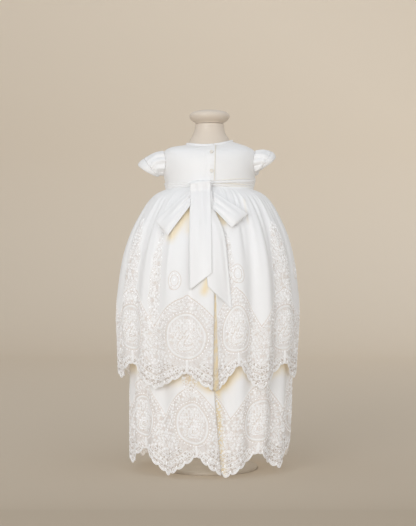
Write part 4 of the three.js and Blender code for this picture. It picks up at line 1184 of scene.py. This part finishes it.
def laidOut(panel, placements):  # each placement is (middle angle, degrees for each millimetre, art)
    start, end = panel["edges"]["fromHem"] + laying["edge"], panel["edges"]["toHem"] - laying["edge"]
    top, lift = panel["rings"][0]["z"] - laying["top"], skirtThickness / 2 + laying["lift"]
    runs = {kind: [] for kind in cordLooks}
    dots = []
    for middle, perMm, art in placements:
        if middle + laying["reach"] * perMm < start or middle - laying["reach"] * perMm > end:
            continue
        for kind in runs:
            for points in art[kind]:
                points = resampled(points, laying["step"])
                angle = middle + points[:, 0] * perMm
                z = tipLine(panel["hem"], angle) + points[:, 1]
                free = (angle > start) & (angle < end) & (z < top)
                runs[kind] += [np.stack([angle[a:b], z[a:b]], -1) for a, b in freeRuns(free, 1)]
        spots = np.array(art["dots"])
        angle = middle + spots[:, 0] * perMm
        free = (angle > start + laying["beadEdge"]) & (angle < end - laying["beadEdge"])
        dots.append(np.stack([angle, tipLine(panel["hem"], angle) + spots[:, 1], spots[:, 2]], -1)[free])
    cords = {}
    for kind, parts in runs.items():
        together = np.concatenate(parts)
        points, facing = onPanel(panel, together[:, 0], together[:, 1], np.full(len(together), lift))
        ends = np.cumsum([len(part) for part in parts])[:-1]
        cords[kind] = (np.split(points, ends), np.split(facing, ends))
    dots = np.concatenate(dots)
    spots, normals = onPanel(panel, dots[:, 0], dots[:, 1], np.full(len(dots), lift + laying["beadLift"]))
    return cords, (spots, normals, dots[:, 2])


# Geometry Nodes: flat cords along edges, and beads or stitches on points

def newTree(name, sockets):
    tree = bpy.data.node_groups.new(name, "GeometryNodeTree")
    tree.interface.new_socket("Geometry", in_out="INPUT", socket_type="NodeSocketGeometry")
    for key, kind in {**sockets, "Material": "Material"}.items():
        tree.interface.new_socket(key, in_out="INPUT", socket_type="NodeSocket" + kind)
    tree.interface.new_socket("Geometry", in_out="OUTPUT", socket_type="NodeSocketGeometry")
    return tree, tree.nodes.new("NodeGroupInput")


def nodesOf(tree, *kinds):
    return [tree.nodes.new(kind) for kind in kinds]


def join(tree, *rows):  # each row is (node, its output, next node, its input)
    for first, output, second, socket in rows:
        tree.links.new(first.outputs[output], second.inputs[socket])


def endTree(tree, start, last, output, rounded):
    realize, shade, paint, end = nodesOf(tree, "GeometryNodeRealizeInstances", "GeometryNodeSetShadeSmooth",
                                         "GeometryNodeSetMaterial", "NodeGroupOutput")
    shade.inputs["Shade Smooth"].default_value = rounded
    join(tree, (last, output, realize, "Geometry"), (realize, "Geometry", shade, "Geometry"),
         (shade, "Geometry", paint, "Geometry"), (start, "Material", paint, "Material"),
         (paint, "Geometry", end, "Geometry"))
    return tree


def namedAttribute(tree, kind, name):
    node = tree.nodes.new("GeometryNodeInputNamedAttribute")
    node.data_type = kind
    node.inputs["Name"].default_value = name
    return node


def laceTree():  # cords with a low three-sided section that lies flat on the cloth
    tree, start = newTree("flat cords along edges", {"Half Width": "Float", "Height": "Float"})
    curve, ring, upright = nodesOf(tree, "GeometryNodeMeshToCurve", "GeometryNodeCurvePrimitiveCircle",
                                   "GeometryNodeSetCurveNormal")
    squeeze, section, tube = nodesOf(tree, "GeometryNodeTransform", "ShaderNodeCombineXYZ",
                                     "GeometryNodeCurveToMesh")
    facing = namedAttribute(tree, "FLOAT_VECTOR", "facing")
    upright.mode = "FREE"
    setInputs(ring, Resolution=3, Radius=1.0)
    section.inputs["Z"].default_value = 1.0
    setInputs(tube, Fill_Caps=True)
    join(tree, (start, "Geometry", curve, "Mesh"), (curve, "Curve", upright, "Curve"),
         (facing, "Attribute", upright, "Normal"), (start, "Height", section, "X"),
         (start, "Half Width", section, "Y"), (ring, "Curve", squeeze, "Geometry"),
         (section, "Vector", squeeze, "Scale"), (upright, "Curve", tube, "Curve"),
         (squeeze, "Geometry", tube, "Profile Curve"))
    return endTree(tree, start, tube, "Mesh", rounded=False)


def beadTree():  # beads of slightly different sizes, each turned to face as its point says
    tree, start = newTree("beads on points", {"Shape": "Vector", "Segments": "Int", "Seed": "Int"})
    bead, stretch, turn = nodesOf(tree, "GeometryNodeMeshUVSphere", "GeometryNodeTransform",
                                  "FunctionNodeAlignRotationToVector")
    dice, scale, place = nodesOf(tree, "FunctionNodeRandomValue", "ShaderNodeMath",
                                 "GeometryNodeInstanceOnPoints")
    facing, size = namedAttribute(tree, "FLOAT_VECTOR", "facing"), namedAttribute(tree, "FLOAT", "size")
    setInputs(bead, Rings=3, Radius=1.0)
    turn.axis, dice.data_type, scale.operation = "Z", "FLOAT", "MULTIPLY"
    floats = [socket for socket in dice.inputs if socket.type == "VALUE" and socket.name in ("Min", "Max")]
    floats[0].default_value, floats[1].default_value = 0.88, 1.12
    tree.links.new([socket for socket in dice.outputs if socket.type == "VALUE"][0], scale.inputs[0])
    tree.links.new(size.outputs["Attribute"], scale.inputs[1])
    join(tree, (start, "Segments", bead, "Segments"), (bead, "Mesh", stretch, "Geometry"),
         (start, "Shape", stretch, "Scale"), (facing, "Attribute", turn, "Vector"),
         (start, "Seed", dice, "Seed"), (start, "Geometry", place, "Points"),
         (stretch, "Geometry", place, "Instance"), (turn, "Rotation", place, "Rotation"),
         (scale, "Value", place, "Scale"))
    return endTree(tree, start, place, "Instances", rounded=True)


laceNodes = laceTree()
beadNodes = beadTree()
beadSeed = 3


def grown(name, source, tree, values):  # runs a node tree on a source mesh and keeps a plain mesh
    holder = placed(name + " source", source)
    modifier = holder.modifiers.new("grow", "NODES")
    modifier.node_group = tree
    identifiers = {item.name: item.identifier for item in tree.interface.items_tree if item.in_out == "INPUT"}
    for key, value in values.items():
        modifier[identifiers[key]] = value
    graph = bpy.context.evaluated_depsgraph_get()
    mesh = bpy.data.meshes.new_from_object(holder.evaluated_get(graph))
    mesh.name = name
    holder.modifiers.remove(modifier)
    bpy.data.objects.remove(holder)
    return pieceOf(name, mesh)


def pathSource(name, paths):  # paths are lists of points; an equal end closes one
    points, edges, count, kept = [], [], 0, []
    for path in paths:
        path = np.asarray(path)
        closed = len(path) > 3 and np.linalg.norm(path[0] - path[-1]) < 0.05
        n = len(path) - closed
        points.append(path[:n])
        kept.append(n)
        edges += [(count + i, count + i + 1) for i in range(n - 1)]
        if closed:
            edges.append((count + n - 1, count))
        count += n
    source = bpy.data.meshes.new(name + " paths")
    source.from_pydata((np.concatenate(points) * mm).tolist(), edges, [])
    return source, kept


def setFacing(source, facing):
    attribute = source.attributes.new("facing", "FLOAT_VECTOR", "POINT")
    attribute.data.foreach_set("vector", np.ascontiguousarray(facing).ravel())


def makeLaceCords(name, paths, facings, halfWidth, height, material):
    source, kept = pathSource(name, paths)
    facing = np.concatenate([np.asarray(rows)[:n] for rows, n in zip(facings, kept)])
    setFacing(source, facing)
    # the section's corners lie at 1 and at -0.5 of the height, and at 0.866 of the width
    values = {"Half Width": halfWidth / 0.866 * mm, "Height": height / 1.5 * mm, "Material": material}
    return grown(name, source, laceNodes, values)


def makeBeads(name, points, facing, sizes, shape, segments, material):
    source = bpy.data.meshes.new(name + " points")
    source.from_pydata((np.asarray(points) * mm).tolist(), [], [])
    setFacing(source, facing)
    values = np.broadcast_to(np.asarray(sizes, float), (len(points),)) * mm
    source.attributes.new("size", "FLOAT", "POINT").data.foreach_set("value", np.ascontiguousarray(values))
    inputs = {"Shape": shape, "Segments": segments, "Seed": beadSeed, "Material": material}
    return grown(name, source, beadNodes, inputs)


stitch = {"every": 3.1, "half": 0.95, "shape": (0.26, 0.26, 1.0), "segments": 5, "lift": 0.62}
sequin = {"shape": (1, 1, 0.4), "segments": 6}


def makeStitches(name, paths):
    spots, ways = [], []
    for path in paths:
        even = resampled(path, stitch["every"])
        spots.append(even)
        ways.append(unit(np.gradient(even, axis=0)))
    makeBeads(name, np.concatenate(spots), np.concatenate(ways), stitch["half"], stitch["shape"],
              stitch["segments"], stitchThread)


def makeLace(panels, plan):
    art = repeatArt(plan)
    for name, panel in panels.items():
        tips = panel["tips"]
        placements = [((a + b) / 2, (b - a) / plan["width"], art) for a, b in zip(tips[:-1], tips[1:])]
        placements += [(row["at"], panel["perMm"], columnArt(row)) for row in panel["lacePanels"]]
        placements += [(turn, panel["perMm"], rosetteArt(plan)) for turn in panel["rosettes"]]
        cords, (spots, normals, sizes) = laidOut(panel, placements)
        for kind, (halfWidth, height, material) in cordLooks.items():
            makeLaceCords(name + "_cords_" + kind, *cords[kind], halfWidth, height, material)
        makeBeads(name + "_sequins", spots, normals, sizes, sequin["shape"], sequin["segments"],
                  sequinGloss)


# The bodice's trimmings

binding = {"height": 3.6, "lean": 1.1, "lapAt": 10, "bulge": 0.25}
placket = {"leftX": -6.0, "rightXTop": 11.5, "rightXBottom": 9.0, "lowZ": 511.5, "highZ": 575.5}
buttonX = 3.6
buttonHeights = {"button_upper": 561.5, "button_lower": 529.7}
buttonProfile = [
    (0.0, 0.0), (1.9, 0.05), (2.7, 0.25), (3.1, 0.7), (3.3, 1.15), (3.25, 1.7), (2.95, 2.15), (2.5, 2.4),
    (2.1, 2.38), (1.8, 2.2), (1.4, 2.1), (0.9, 2.06), (0.4, 2.04), (0.0, 2.04),
]


def makePlacket():
    low, high = bodiceHeightAt(0.0, placket["lowZ"]), bodiceHeightAt(0.0, placket["highZ"])
    across, height = np.meshgrid(np.linspace(0, 1, 23), np.linspace(low, high, 61), indexing="ij")
    right = mix(placket["rightXBottom"], placket["rightXTop"], (height - low) / (high - low))
    angle = angleAtX(mix(placket["leftX"], right, across), height)
    sag = 0.35 * np.sin(height * 5.1) * np.sin(math.pi * across)
    lift = mix(0.2, 1.35, smooth(across / 0.5)) + sag
    points = bodiceFace(angle, height, lift)
    # yellowish painted shade along the placket's lapped edge
    cloth("button_placket", points, satin, "satin", 1.0, held="laid", length=0.07, fill=0.95,
          restsOn=["bodice_back_left", "bodice_back_right"], tones={"paintedShadeAndGlow": 0.6 * bump(across - 1, 0.06)})
    face = bodiceFace(angle, height, lift + stitch["lift"])
    makeStitches("placket_stitches", [face[-3]])


def makeButtons():
    turns = np.linspace(0, 2 * math.pi, 40, endpoint=False)[:, None]
    for name, z in buttonHeights.items():
        height = bodiceHeightAt(0.0, z)
        angle = angleAtX(buttonX, height)
        foot = bodiceFace(angle, height, 2.0)
        out = normalsOf(bodicePlain, np.asarray(angle), np.asarray(height), 0.2, 0.05)
        side = np.cross(out, [0, 0, 1.0])
        side /= np.linalg.norm(side)
        up = np.cross(side, out)
        circle = np.cos(turns) * side + np.sin(turns) * up
        rings = [foot + out * y + max(r, 0.02) * circle for r, y in buttonProfile]
        piece = loft(name + "_pearl", rings, pearl)
        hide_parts(name)


def makeBinding():
    neckline = bodiceRings[-1]
    start, end = binding["lapAt"] + 0.5, binding["lapAt"] + 359.5
    angle, rise = np.meshgrid(np.linspace(start, end, 241), np.linspace(0, 1, 11), indexing="ij")
    foot = ringPoint(*neckline, angle)
    grow = 1 - (binding["lean"] * rise - binding["bulge"] * np.sin(math.pi * rise)) / neckline[0]
    points = foot * np.stack([grow, grow, np.ones_like(grow)], -1)
    points[..., 2] += 0.2 + binding["height"] * rise + necklineTilt(angle, necklineHeight)
    cloth("neck_binding", points, satin, "satin", satinThickness, held="folded", length=0.26, fill=0.345,
          restsOn=["form_torso"])
    outside = foot[:, 0] + np.array([0, 0, 1.6])
    outward = outside[:, :2] / np.linalg.norm(outside[:, :2], axis=1, keepdims=True)
    outside[:, :2] += 0.35 * outward
    outside[:, 2] += necklineTilt(angle[:, 0], necklineHeight)
    makeStitches("neck_binding_stitches", [outside])


# Sleeves and cuffs. t runs from the armhole outwards, and the turn is 0 on top and 90 at the back

sleeveRings = {
    "sleeve_left": [
        (86.6, 568.2, 86.4, 525.6, 25), (96, 566.8, 88, 525.4, 28), (106.5, 562.6, 89.4, 525.2, 29.5),
        (116.5, 556, 90.8, 525.2, 27),
    ],
    "cuff_left": [
        (116.8, 555.6, 91.2, 524.9, 27), (123.6, 550.2, 92.4, 525, 25.6), (128.4, 544.4, 93.4, 525.4, 23.5),
    ],
    "sleeve_right": [
        (86.6, 568.2, 86.4, 525.6, 25), (93, 571.4, 88, 528.6, 28), (101.5, 571.6, 89.2, 532, 29.5),
        (109.5, 568.4, 90.2, 535.4, 27),
    ],
    "cuff_right": [
        (109.9, 568.1, 90.6, 535.5, 27), (115.2, 564.4, 91.8, 537.4, 25.6), (118.8, 558.4, 93, 539.4, 23.5),
    ],
}
sleeveTilt = 4.5  # how much lower the back of a cuff hangs than its front
sleeveKeys = ("topReach", "topZ", "underReach", "underZ", "halfDepth")
pleats = {
    "sleeve_left": [
        (-160, 9, -1.4), (-138, 9, 1.6), (-112, 8, -1.8), (-90, 8, 1.6), (-66, 8, -1.8), (-42, 8, 1.8),
        (-20, 7, -1.4), (0, 7, 1.6), (21, 6, -1.9), (40, 7, 2.0), (60, 6, -2.2), (79, 7, 2.1),
        (99, 6, -2.1), (118, 7, 1.8), (139, 6, -1.8), (158, 8, 1.3),
    ],
    "sleeve_right": [
        (-164, 9, 1.4), (-140, 9, -1.5), (-115, 8, 1.8), (-93, 8, -1.6), (-70, 8, 1.6), (-47, 8, -1.8),
        (-24, 7, 1.5), (-4, 7, -1.5), (16, 6, 1.8), (35, 7, -2.0), (53, 6, 2.2), (72, 7, -2.1),
        (91, 6, 2.1), (111, 7, -1.9), (131, 6, 1.7), (152, 8, -1.3),
    ],
}


sleeveCuts = {
    "sleeve": {"thickness": 0.8, "held": "gathered", "length": 0.22, "fill": 0.9, "under": "bodice_back"},
    "cuff": {"thickness": 1.1, "held": "folded", "length": 0.15, "fill": 0.8, "under": "sleeve"},
}


def sleeveSurface(name, turn, t):
    rings = [dict(zip(sleeveKeys, row)) for row in sleeveRings[name]]
    places = list(range(len(rings)))
    value = {key: through(places, column(rings, key), t) for key in sleeveKeys}
    side = -1 if name.endswith("left") else 1
    share = (1 + np.cos(np.radians(turn))) / 2
    y = -value["halfDepth"] * np.sin(np.radians(turn))
    z = mix(value["underZ"], value["topZ"], share)
    reach = mix(value["underReach"], value["topReach"], share)
    if name.startswith("sleeve"):
        first = rings[0]
        y0 = -first["halfDepth"] * np.sin(np.radians(turn))
        z0 = mix(first["underZ"], first["topZ"], share)
        onBodice = bodiceReach(y0, z0) + 1.1
        reach = reach + (onBodice - mix(first["underReach"], first["topReach"], share)) * (1 - smooth(t))
    last = t / 3 if name.startswith("sleeve") else 1 + t / 6
    z = z - sleeveTilt * np.sin(np.radians(turn)) * smooth(last) * (0.6 + 0.4 * last)
    return np.stack(np.broadcast_arrays(side * reach, y, z), -1)


def sleevePleats(name, turn, t):
    total = np.zeros(np.broadcast(turn, t).shape)
    for at, spread, depth in pleats[name]:
        drift = at + 3.0 * math.sin(at) * t  # the pleats don't run quite straight
        total += depth * bump(wrapped(turn - drift), spread) * (0.25 + 0.75 * (1 - smooth(t / 2.6)))
        total += 0.45 * depth * bump(wrapped(turn - at * 0.97 - 8), spread * 0.7) * smooth((t - 1.6) / 1.3)
    total *= smooth(t / 0.22 + 0.25) * smooth((3.06 - t) / 0.35)
    atCuff = np.cos(np.radians(turn * 26 + 40 * np.sin(np.radians(turn * 3))))
    atArmhole = np.cos(np.radians(turn * 22 + 35 * np.sin(np.radians(turn * 2))))
    return total + (0.55 * atCuff * smooth((t - 2.3) / 0.6) + 0.5 * atArmhole * (1 - smooth(t / 0.9)))


def makeSleeves():
    stitches = []
    for name in sleeveRings:
        side = -1 if name.endswith("left") else 1
        puffed = name.startswith("sleeve")
        columns, rows = (176, 49) if puffed else (120, 17)
        turns = side * np.linspace(0, 360, columns, endpoint=False)
        turn, t = np.meshgrid(turns, np.linspace(0, len(sleeveRings[name]) - 1, rows), indexing="ij")
        surface = lambda u, v, name=name: sleeveSurface(name, u, v)
        normal = side * normalsOf(surface, turn, t, 0.5, 0.02)
        if puffed:
            out = 0.9 * sleevePleats(name, turn, t) - 0.5 * np.sin(math.pi * t / 3)
        else:
            out = 0.9 * np.sqrt(np.clip(1 - (t - 1) ** 2, 0, 1)) + 0.15 * np.cos(np.radians(turn * 5))
        points = surface(turn, t) + normal * out[..., None]
        look = sleeveCuts["sleeve" if puffed else "cuff"]
        rests = look["under"] + ("_left" if side < 0 else "_right")
        cloth(name, points, satin, "satin", look["thickness"], held=look["held"], length=look["length"],
              fill=look["fill"], restsOn=[rests], closed=True)
        if not puffed:
            for row in (2, rows - 3):
                path = points[:, row] + normal[:, row] * 0.6
                stitches.append(np.concatenate([path, path[:1]]))
    makeStitches("cuff_stitches", stitches)


# The sash, its knot, the two hanging ends and the bow's loops

sash = {"lowZ": 498.4, "highZ": 521, "knotDip": 8, "knotAt": -8, "knotSpread": 55, "leftDip": 8}
knot = {"x": -16.0, "y": -70.6, "z": 504.6, "halfWidth": 19.5, "halfDepth": 7.2, "halfHeight": 7.6}
sashPleats = [
    (0.16, 0.055, 0.8), (0.30, 0.05, -0.9), (0.43, 0.06, 0.9), (0.57, 0.05, -1.0), (0.71, 0.06, 0.9),
    (0.84, 0.05, -0.8),
]
ribbonWidth = 38.0
ribbonThickness = 0.8
tailLift = {"lowZ": 455, "highZ": 495, "depth": 4}  # how a tail stands off the skirt under the knot
tailTurnOver = {"from": 12, "to": 170, "steps": 14, "flatness": 0.75}
tails = {
    "sash_tail_right": {
        "clearance": 1.3, "overKnot": 0, "topZ": 494.5, "topSlope": 0,
        "line": [(494.5, -13), (460, -9.5), (419, 6), (362, 12.5), (290, 19)],
        "cutLeftZ": 329, "cutRightZ": 289, "turnOver": 0,
        "folds": [(0.22, 0.11, 1.0, 300, 520), (-0.2, 0.10, -0.9, 340, 520), (0.36, 0.08, -0.6, 290, 420)],
    },
    "sash_tail_left": {
        "clearance": 3.0, "overKnot": 78.6, "topZ": 507.2, "topSlope": 5,
        "line": [(512, -16), (430, -15.5), (320, -14.5)],
        "cutLeftZ": 322, "cutRightZ": 351, "turnOver": 3.2,
        "folds": [(-0.28, 0.09, 1.1, 400, 540), (-0.08, 0.08, -1.2, 380, 540), (0.14, 0.09, 1.1, 360, 540),
                  (0.33, 0.08, -0.9, 420, 540), (-0.36, 0.12, -0.6, 320, 430)],
    },
}
loops = {
    "bow_loop_left": {
        "rootTop": (-32.5, 496.5), "rootLow": (-32.5, 468.0), "endTop": (-93.5, 441.0), "endLow": (-71.5, 415.0),
        "clearance": 1.8, "open": 7, "puff": 2.6,
    },
    "bow_loop_right": {
        "rootTop": (6.5, 491.5), "rootLow": (6.5, 461.0), "endTop": (66.0, 453.0), "endLow": (38.0, 428.0),
        "clearance": 3.0, "open": 10, "puff": 3.6,
    },
}


loopFolds = {"openAtRoot": 0.14, "openAtEnd": 1.05, "rootPleats": 1.5, "crease": 1.8, "waves": 0.6}


def makeSash():
    turns = np.linspace(-180, 180, 240, endpoint=False)
    angle, share = np.meshgrid(turns, np.linspace(0, 1, 33), indexing="ij")
    dip = sash["knotDip"] * bump(wrapped(angle - sash["knotAt"]), sash["knotSpread"])
    upper = sash["highZ"] - dip - sash["leftDip"] * bump(wrapped(angle + 90), sash["knotSpread"])
    z = mix(sash["lowZ"], upper, share) + 0.5 * np.sin(np.radians(angle * 4 + 30)) * np.sin(math.pi * share)
    near = 0.45 + 0.75 * bump(wrapped(angle - sash["knotAt"]), 42) + 0.8 * bump(wrapped(angle - 42), 28)
    lift = 2.0 + 0.5 * np.sin(math.pi * share)
    for at, spread, depth in sashPleats:
        wander = at + 0.045 * np.sin(np.radians(angle * 2 + at * 900))
        wander += 0.02 * np.sin(np.radians(angle * 5 + at * 500))
        lift += depth * near * bump(share - wander, spread)
    points = bodiceFace(angle, np.maximum(0.02, bodiceHeightAt(angle, z)), lift)
    below = np.clip(waistZ - z, 0, None)  # under the waist the band leans out over the skirt's top
    points[..., 2] -= below
    points[..., :2] *= (1 + 0.012 * below)[..., None]
    # yellowish painted shade in the pleats right of the knot and along the top edge
    paintedShadeAndGlow = 0.45 * bump(share - 0.56 + 0.002 * angle, 0.05) + 0.35 * bump(share - 0.28, 0.05)
    paintedShadeAndGlow = (paintedShadeAndGlow + 0.5 * bump(share - 1, 0.04)) * bump(wrapped(angle - 30), 30)
    cloth("sash_band", points, satin, "satin", 1.0, held="folded", length=0.46, fill=0.95,
          restsOn=["bodice_front", "bodice_back_left", "bodice_back_right"], closed=True,
          tones={"paintedShadeAndGlow": paintedShadeAndGlow})


def makeKnot():
    turns, levels = np.linspace(0, 2 * math.pi, 96, endpoint=False), np.linspace(-0.985, 0.985, 33)
    turn, level = np.meshgrid(turns, levels)
    width = (1 - np.abs(level) ** 2.5) ** (1 / 2.5)
    x, y = width * np.cos(turn), width * np.sin(turn)
    wraps = 1 + 0.055 * np.cos(9 * x + 2.2 * level) + 0.03 * np.cos(17 * x - 3 * level)
    rings = np.stack([
        knot["x"] + knot["halfWidth"] * x,
        knot["y"] + knot["halfDepth"] * y * wraps,
        knot["z"] + knot["halfHeight"] * level * (1 + 0.08 * np.cos(6 * x)),
    ], -1)
    piece = loft("sash_knot_cloth", rings, satin)
    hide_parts("sash_knot")


def skirtBack(x, z):  # how far behind the axis the overskirt's outer face lies, seen from behind
    level = np.minimum(z, overskirtRings[0]["z"])
    zs = column(overskirtRings, "z")
    keys = ("share", "halfWidth", "centreX")
    share, wide, middle = (through(zs, column(overskirtRings, key), level) for key in keys)
    angle = np.zeros(np.broadcast(x, z).shape)
    for _ in range(6):  # the angle at which the folded cloth lies at x
        angle = np.degrees(np.arcsin(np.clip((x - middle) / (wide + foldAt(angle) * share), -1, 1)))
    return -skirtPoint(overskirtRings, angle, level)[..., 1] + 0.6


def drapedBack(x, z, reach=9.0):  # the same for a ribbon, which bridges the narrow folds
    sides = [skirtBack(x + shift, z) for shift in (-reach, -reach / 2, 0, reach / 2, reach)]
    return 0.5 * np.max(sides, axis=0) + 0.5 * np.mean(sides, axis=0)


def makeTails():
    for name, tail in tails.items():
        zs, xs = [row[0] for row in tail["line"]], [row[1] for row in tail["line"]]
        across, up = np.meshgrid(np.linspace(-0.5, 0.5, 33), np.linspace(0, 1, 111), indexing="ij")
        cut = mix(tail["cutLeftZ"], tail["cutRightZ"], across + 0.5)
        z = mix(cut, tail["topZ"] + tail["topSlope"] * across, up)
        narrow = 1 - 0.06 * smooth((z - 440) / 60)
        x = through(zs, xs, z) + across * ribbonWidth * narrow + 0.5 * np.sin(z / 17) * np.abs(across) ** 2
        lift = tailLift["depth"] * smooth((z - tailLift["lowZ"]) / (tailLift["highZ"] - tailLift["lowZ"]))
        out = drapedBack(x, z) + tail["clearance"] + lift
        if tail["overKnot"]:  # a soft maximum of the two
            out = 0.5 * (out + tail["overKnot"] + np.sqrt((out - tail["overKnot"]) ** 2 + 9))
        for at, spread, depth, low, high in tail["folds"]:
            wander = at + 0.03 * np.sin(z / 31 + 9 * at)
            window = smooth((z - low) / 60) * smooth((high - z) / 20)
            out = out + depth * bump(across - wander, spread) * window
        curl = 1.3 * smooth((360 - z) / 70) * np.sin(across * 5 + z / 21)
        points = np.stack([x, -(out + curl), z], -1)
        if tail["turnOver"]:
            turn = np.radians(np.linspace(tailTurnOver["from"], tailTurnOver["to"], tailTurnOver["steps"]))
            over = np.repeat(points[:, -1:, :], len(turn), axis=1)
            over[..., 1] += tail["turnOver"] * (1 - np.cos(turn))
            over[..., 2] += tailTurnOver["flatness"] * tail["turnOver"] * np.sin(turn)
            points = np.concatenate([points, over], axis=1)
        rests = ["overskirt_back_left", "overskirt_back_right"] + (["sash_knot"] if tail["turnOver"] else [])
        cloth(name, points, satin, "satin", ribbonThickness, held="hung", length=0.21, fill=0.92, restsOn=rests)
        out = unit(np.cross(np.gradient(points, axis=0), np.gradient(points, axis=1)))
        face = points + out * stitch["lift"]
        makeStitches(name + "_stitches", [face[1], face[-2], face[1:-1, 1]])


def makeLoops():
    for name, loop in loops.items():  # s runs from the lower ribbon's root round the end to the upper one's
        s, w = np.meshgrid(np.linspace(-1, 1, 97), np.linspace(0, 1, 37), indexing="ij")
        out = 1 - s * s
        root, end = (mix(np.array(loop[part + "Low"]), np.array(loop[part + "Top"]), w[..., None])
                     for part in ("root", "end"))
        x, z = np.moveaxis(mix(root, end, out[..., None]), -1, 0)
        upper = np.clip(s, 0, 1)
        opening = mix(loopFolds["openAtRoot"], loopFolds["openAtEnd"], out)
        rootPleats = np.cos(2 * math.pi * (2.6 * w + 0.15)) * np.where(s > 0, 1, 0.4)
        lift = loop["open"] * (0.5 + s * opening / 2)
        lift = lift + loop["puff"] * np.sin(math.pi * w) * np.sin(math.pi * upper)
        lift = lift + loopFolds["rootPleats"] * (1 - out) ** 0.8 * rootPleats
        lift = lift - loopFolds["crease"] * bump(w - 0.86 + 0.1 * out, 0.06) * upper * out
        lift = lift + loopFolds["waves"] * np.sin(9 * w + 5 * out)
        points = np.stack([x, -(drapedBack(x, z) + loop["clearance"] + lift), z], -1)
        toRight = loop["endTop"][0] > loop["rootTop"][0]
        cloth(name, points, satin, "satin", ribbonThickness, held="folded", length=0.17, fill=0.9,
              restsOn=["overskirt_back_left", "overskirt_back_right"], insideOut=toRight)


# The form and its stand

formHipRings = [
    (44, 352, 34, 352, 36, 352), (62, 358, 48, 358, 52, 358), (74, 378, 56, 378, 62, 378),
    (79, 410, 58.5, 410, 67, 410), (78, 445, 56.5, 445, 67, 445), (74.5, 478, 55, 478, 62.5, 478),
]
formNeckRings = [
    (37.6, 584.5, 33.2, 578, 32.4, 571), (35, 591, 30.6, 587, 30.2, 583), (30.5, 598, 27.8, 596, 27.6, 594),
    (27.4, 605.5, 25.9, 605, 25.8, 604), (26.3, 613, 25.2, 613, 25.2, 613), (25.9, 616.9, 24.9, 616.9, 24.9, 616.9),
    (24.6, 618, 23.6, 618, 23.6, 618),
]
formInset = 2.6  # how far the form lies inside the bodice's middle
neckCapProfile = [
    (0.2, 618.4), (23.2, 618.4), (24.6, 618.9), (25.6, 620.2), (31, 623.6), (34.6, 627), (36.2, 630.6), (36, 633.4),
    (34.2, 636.4), (28, 639.8), (15, 642.3), (0.2, 643),
]


standPoleProfile = [(8, 16.3), (8, 351.2), (7.6, 351.7)]
standBaseProfile = [
    (85.6, 0), (86, 0.4), (86, 3.5), (85.6, 4.3), (84.5, 5), (60, 5.5), (14, 6), (13, 6.6), (11.5, 15.4), (10.8, 16),
    (8, 16),
]


def makeForm():
    angles = np.linspace(0, 360, 120, endpoint=False)
    rings = [ringPoint(*row, angles) for row in formHipRings]
    for h in (0.06, 1, 2, 3, 4, 5, 6, 7, 7.7):  # under the bodice
        height = np.full(len(angles), h)
        rings.append(bodicePlain(angles, height) - formInset * normalsOf(bodicePlain, angles, height, 0.2, 0.05))
    rings = np.array(rings + [ringPoint(*row, angles) for row in formNeckRings])
    places = np.arange(len(rings))
    fine = np.linspace(0, len(rings) - 1, 4 * (len(rings) - 1) + 1)
    columns = [[through(places, rings[:, i, k], fine) for i in range(len(angles))] for k in range(3)]
    piece = loft("form_torso_body", np.transpose(columns, (2, 1, 0)), formSkin)
    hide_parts("form_torso")
    t = np.linspace(0, len(neckCapProfile) - 1, 45)
    places = range(len(neckCapProfile))
    radius, z = through(places, column(neckCapProfile, 0), t), through(places, column(neckCapProfile, 1), t)
    piece = lathe("form_neck_cap_body", list(zip(np.maximum(radius, 0.2), z)), formSkin)
    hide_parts("form_neck_cap")


def makeStand():
    piece = lathe("stand_pole_tube", standPoleProfile, standPaint, 48)
    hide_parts("stand_pole")
    piece = lathe("stand_base_plate", standBaseProfile, standPaint, 128)
    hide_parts("stand_base")


makeForm()
makeStand()
print("stage: form and stand made")
makeBodice()
makePlacket()
makeButtons()
makeBinding()
makeSleeves()
print("stage: bodice and sleeves made")
makeSash()
makeKnot()
makeTails()
makeLoops()
print("stage: sash and bow made")
for layer in skirtLayers:
    makeSkirtLayer(layer)
makeUnderskirt()
makeUnderlap()
print("stage: skirt layers made")
makeLace(overskirtPanels, motifPlans["upper"])
makeLace(lowerPanels, motifPlans["lower"])
print("stage: lace made")

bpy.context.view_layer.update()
meshes = [item.data for item in bpy.data.objects if item.type == "MESH"]
total = sum(len(polygon.vertices) - 2 for mesh in meshes for polygon in mesh.polygons)
print("stage: finished with", total, "triangles")
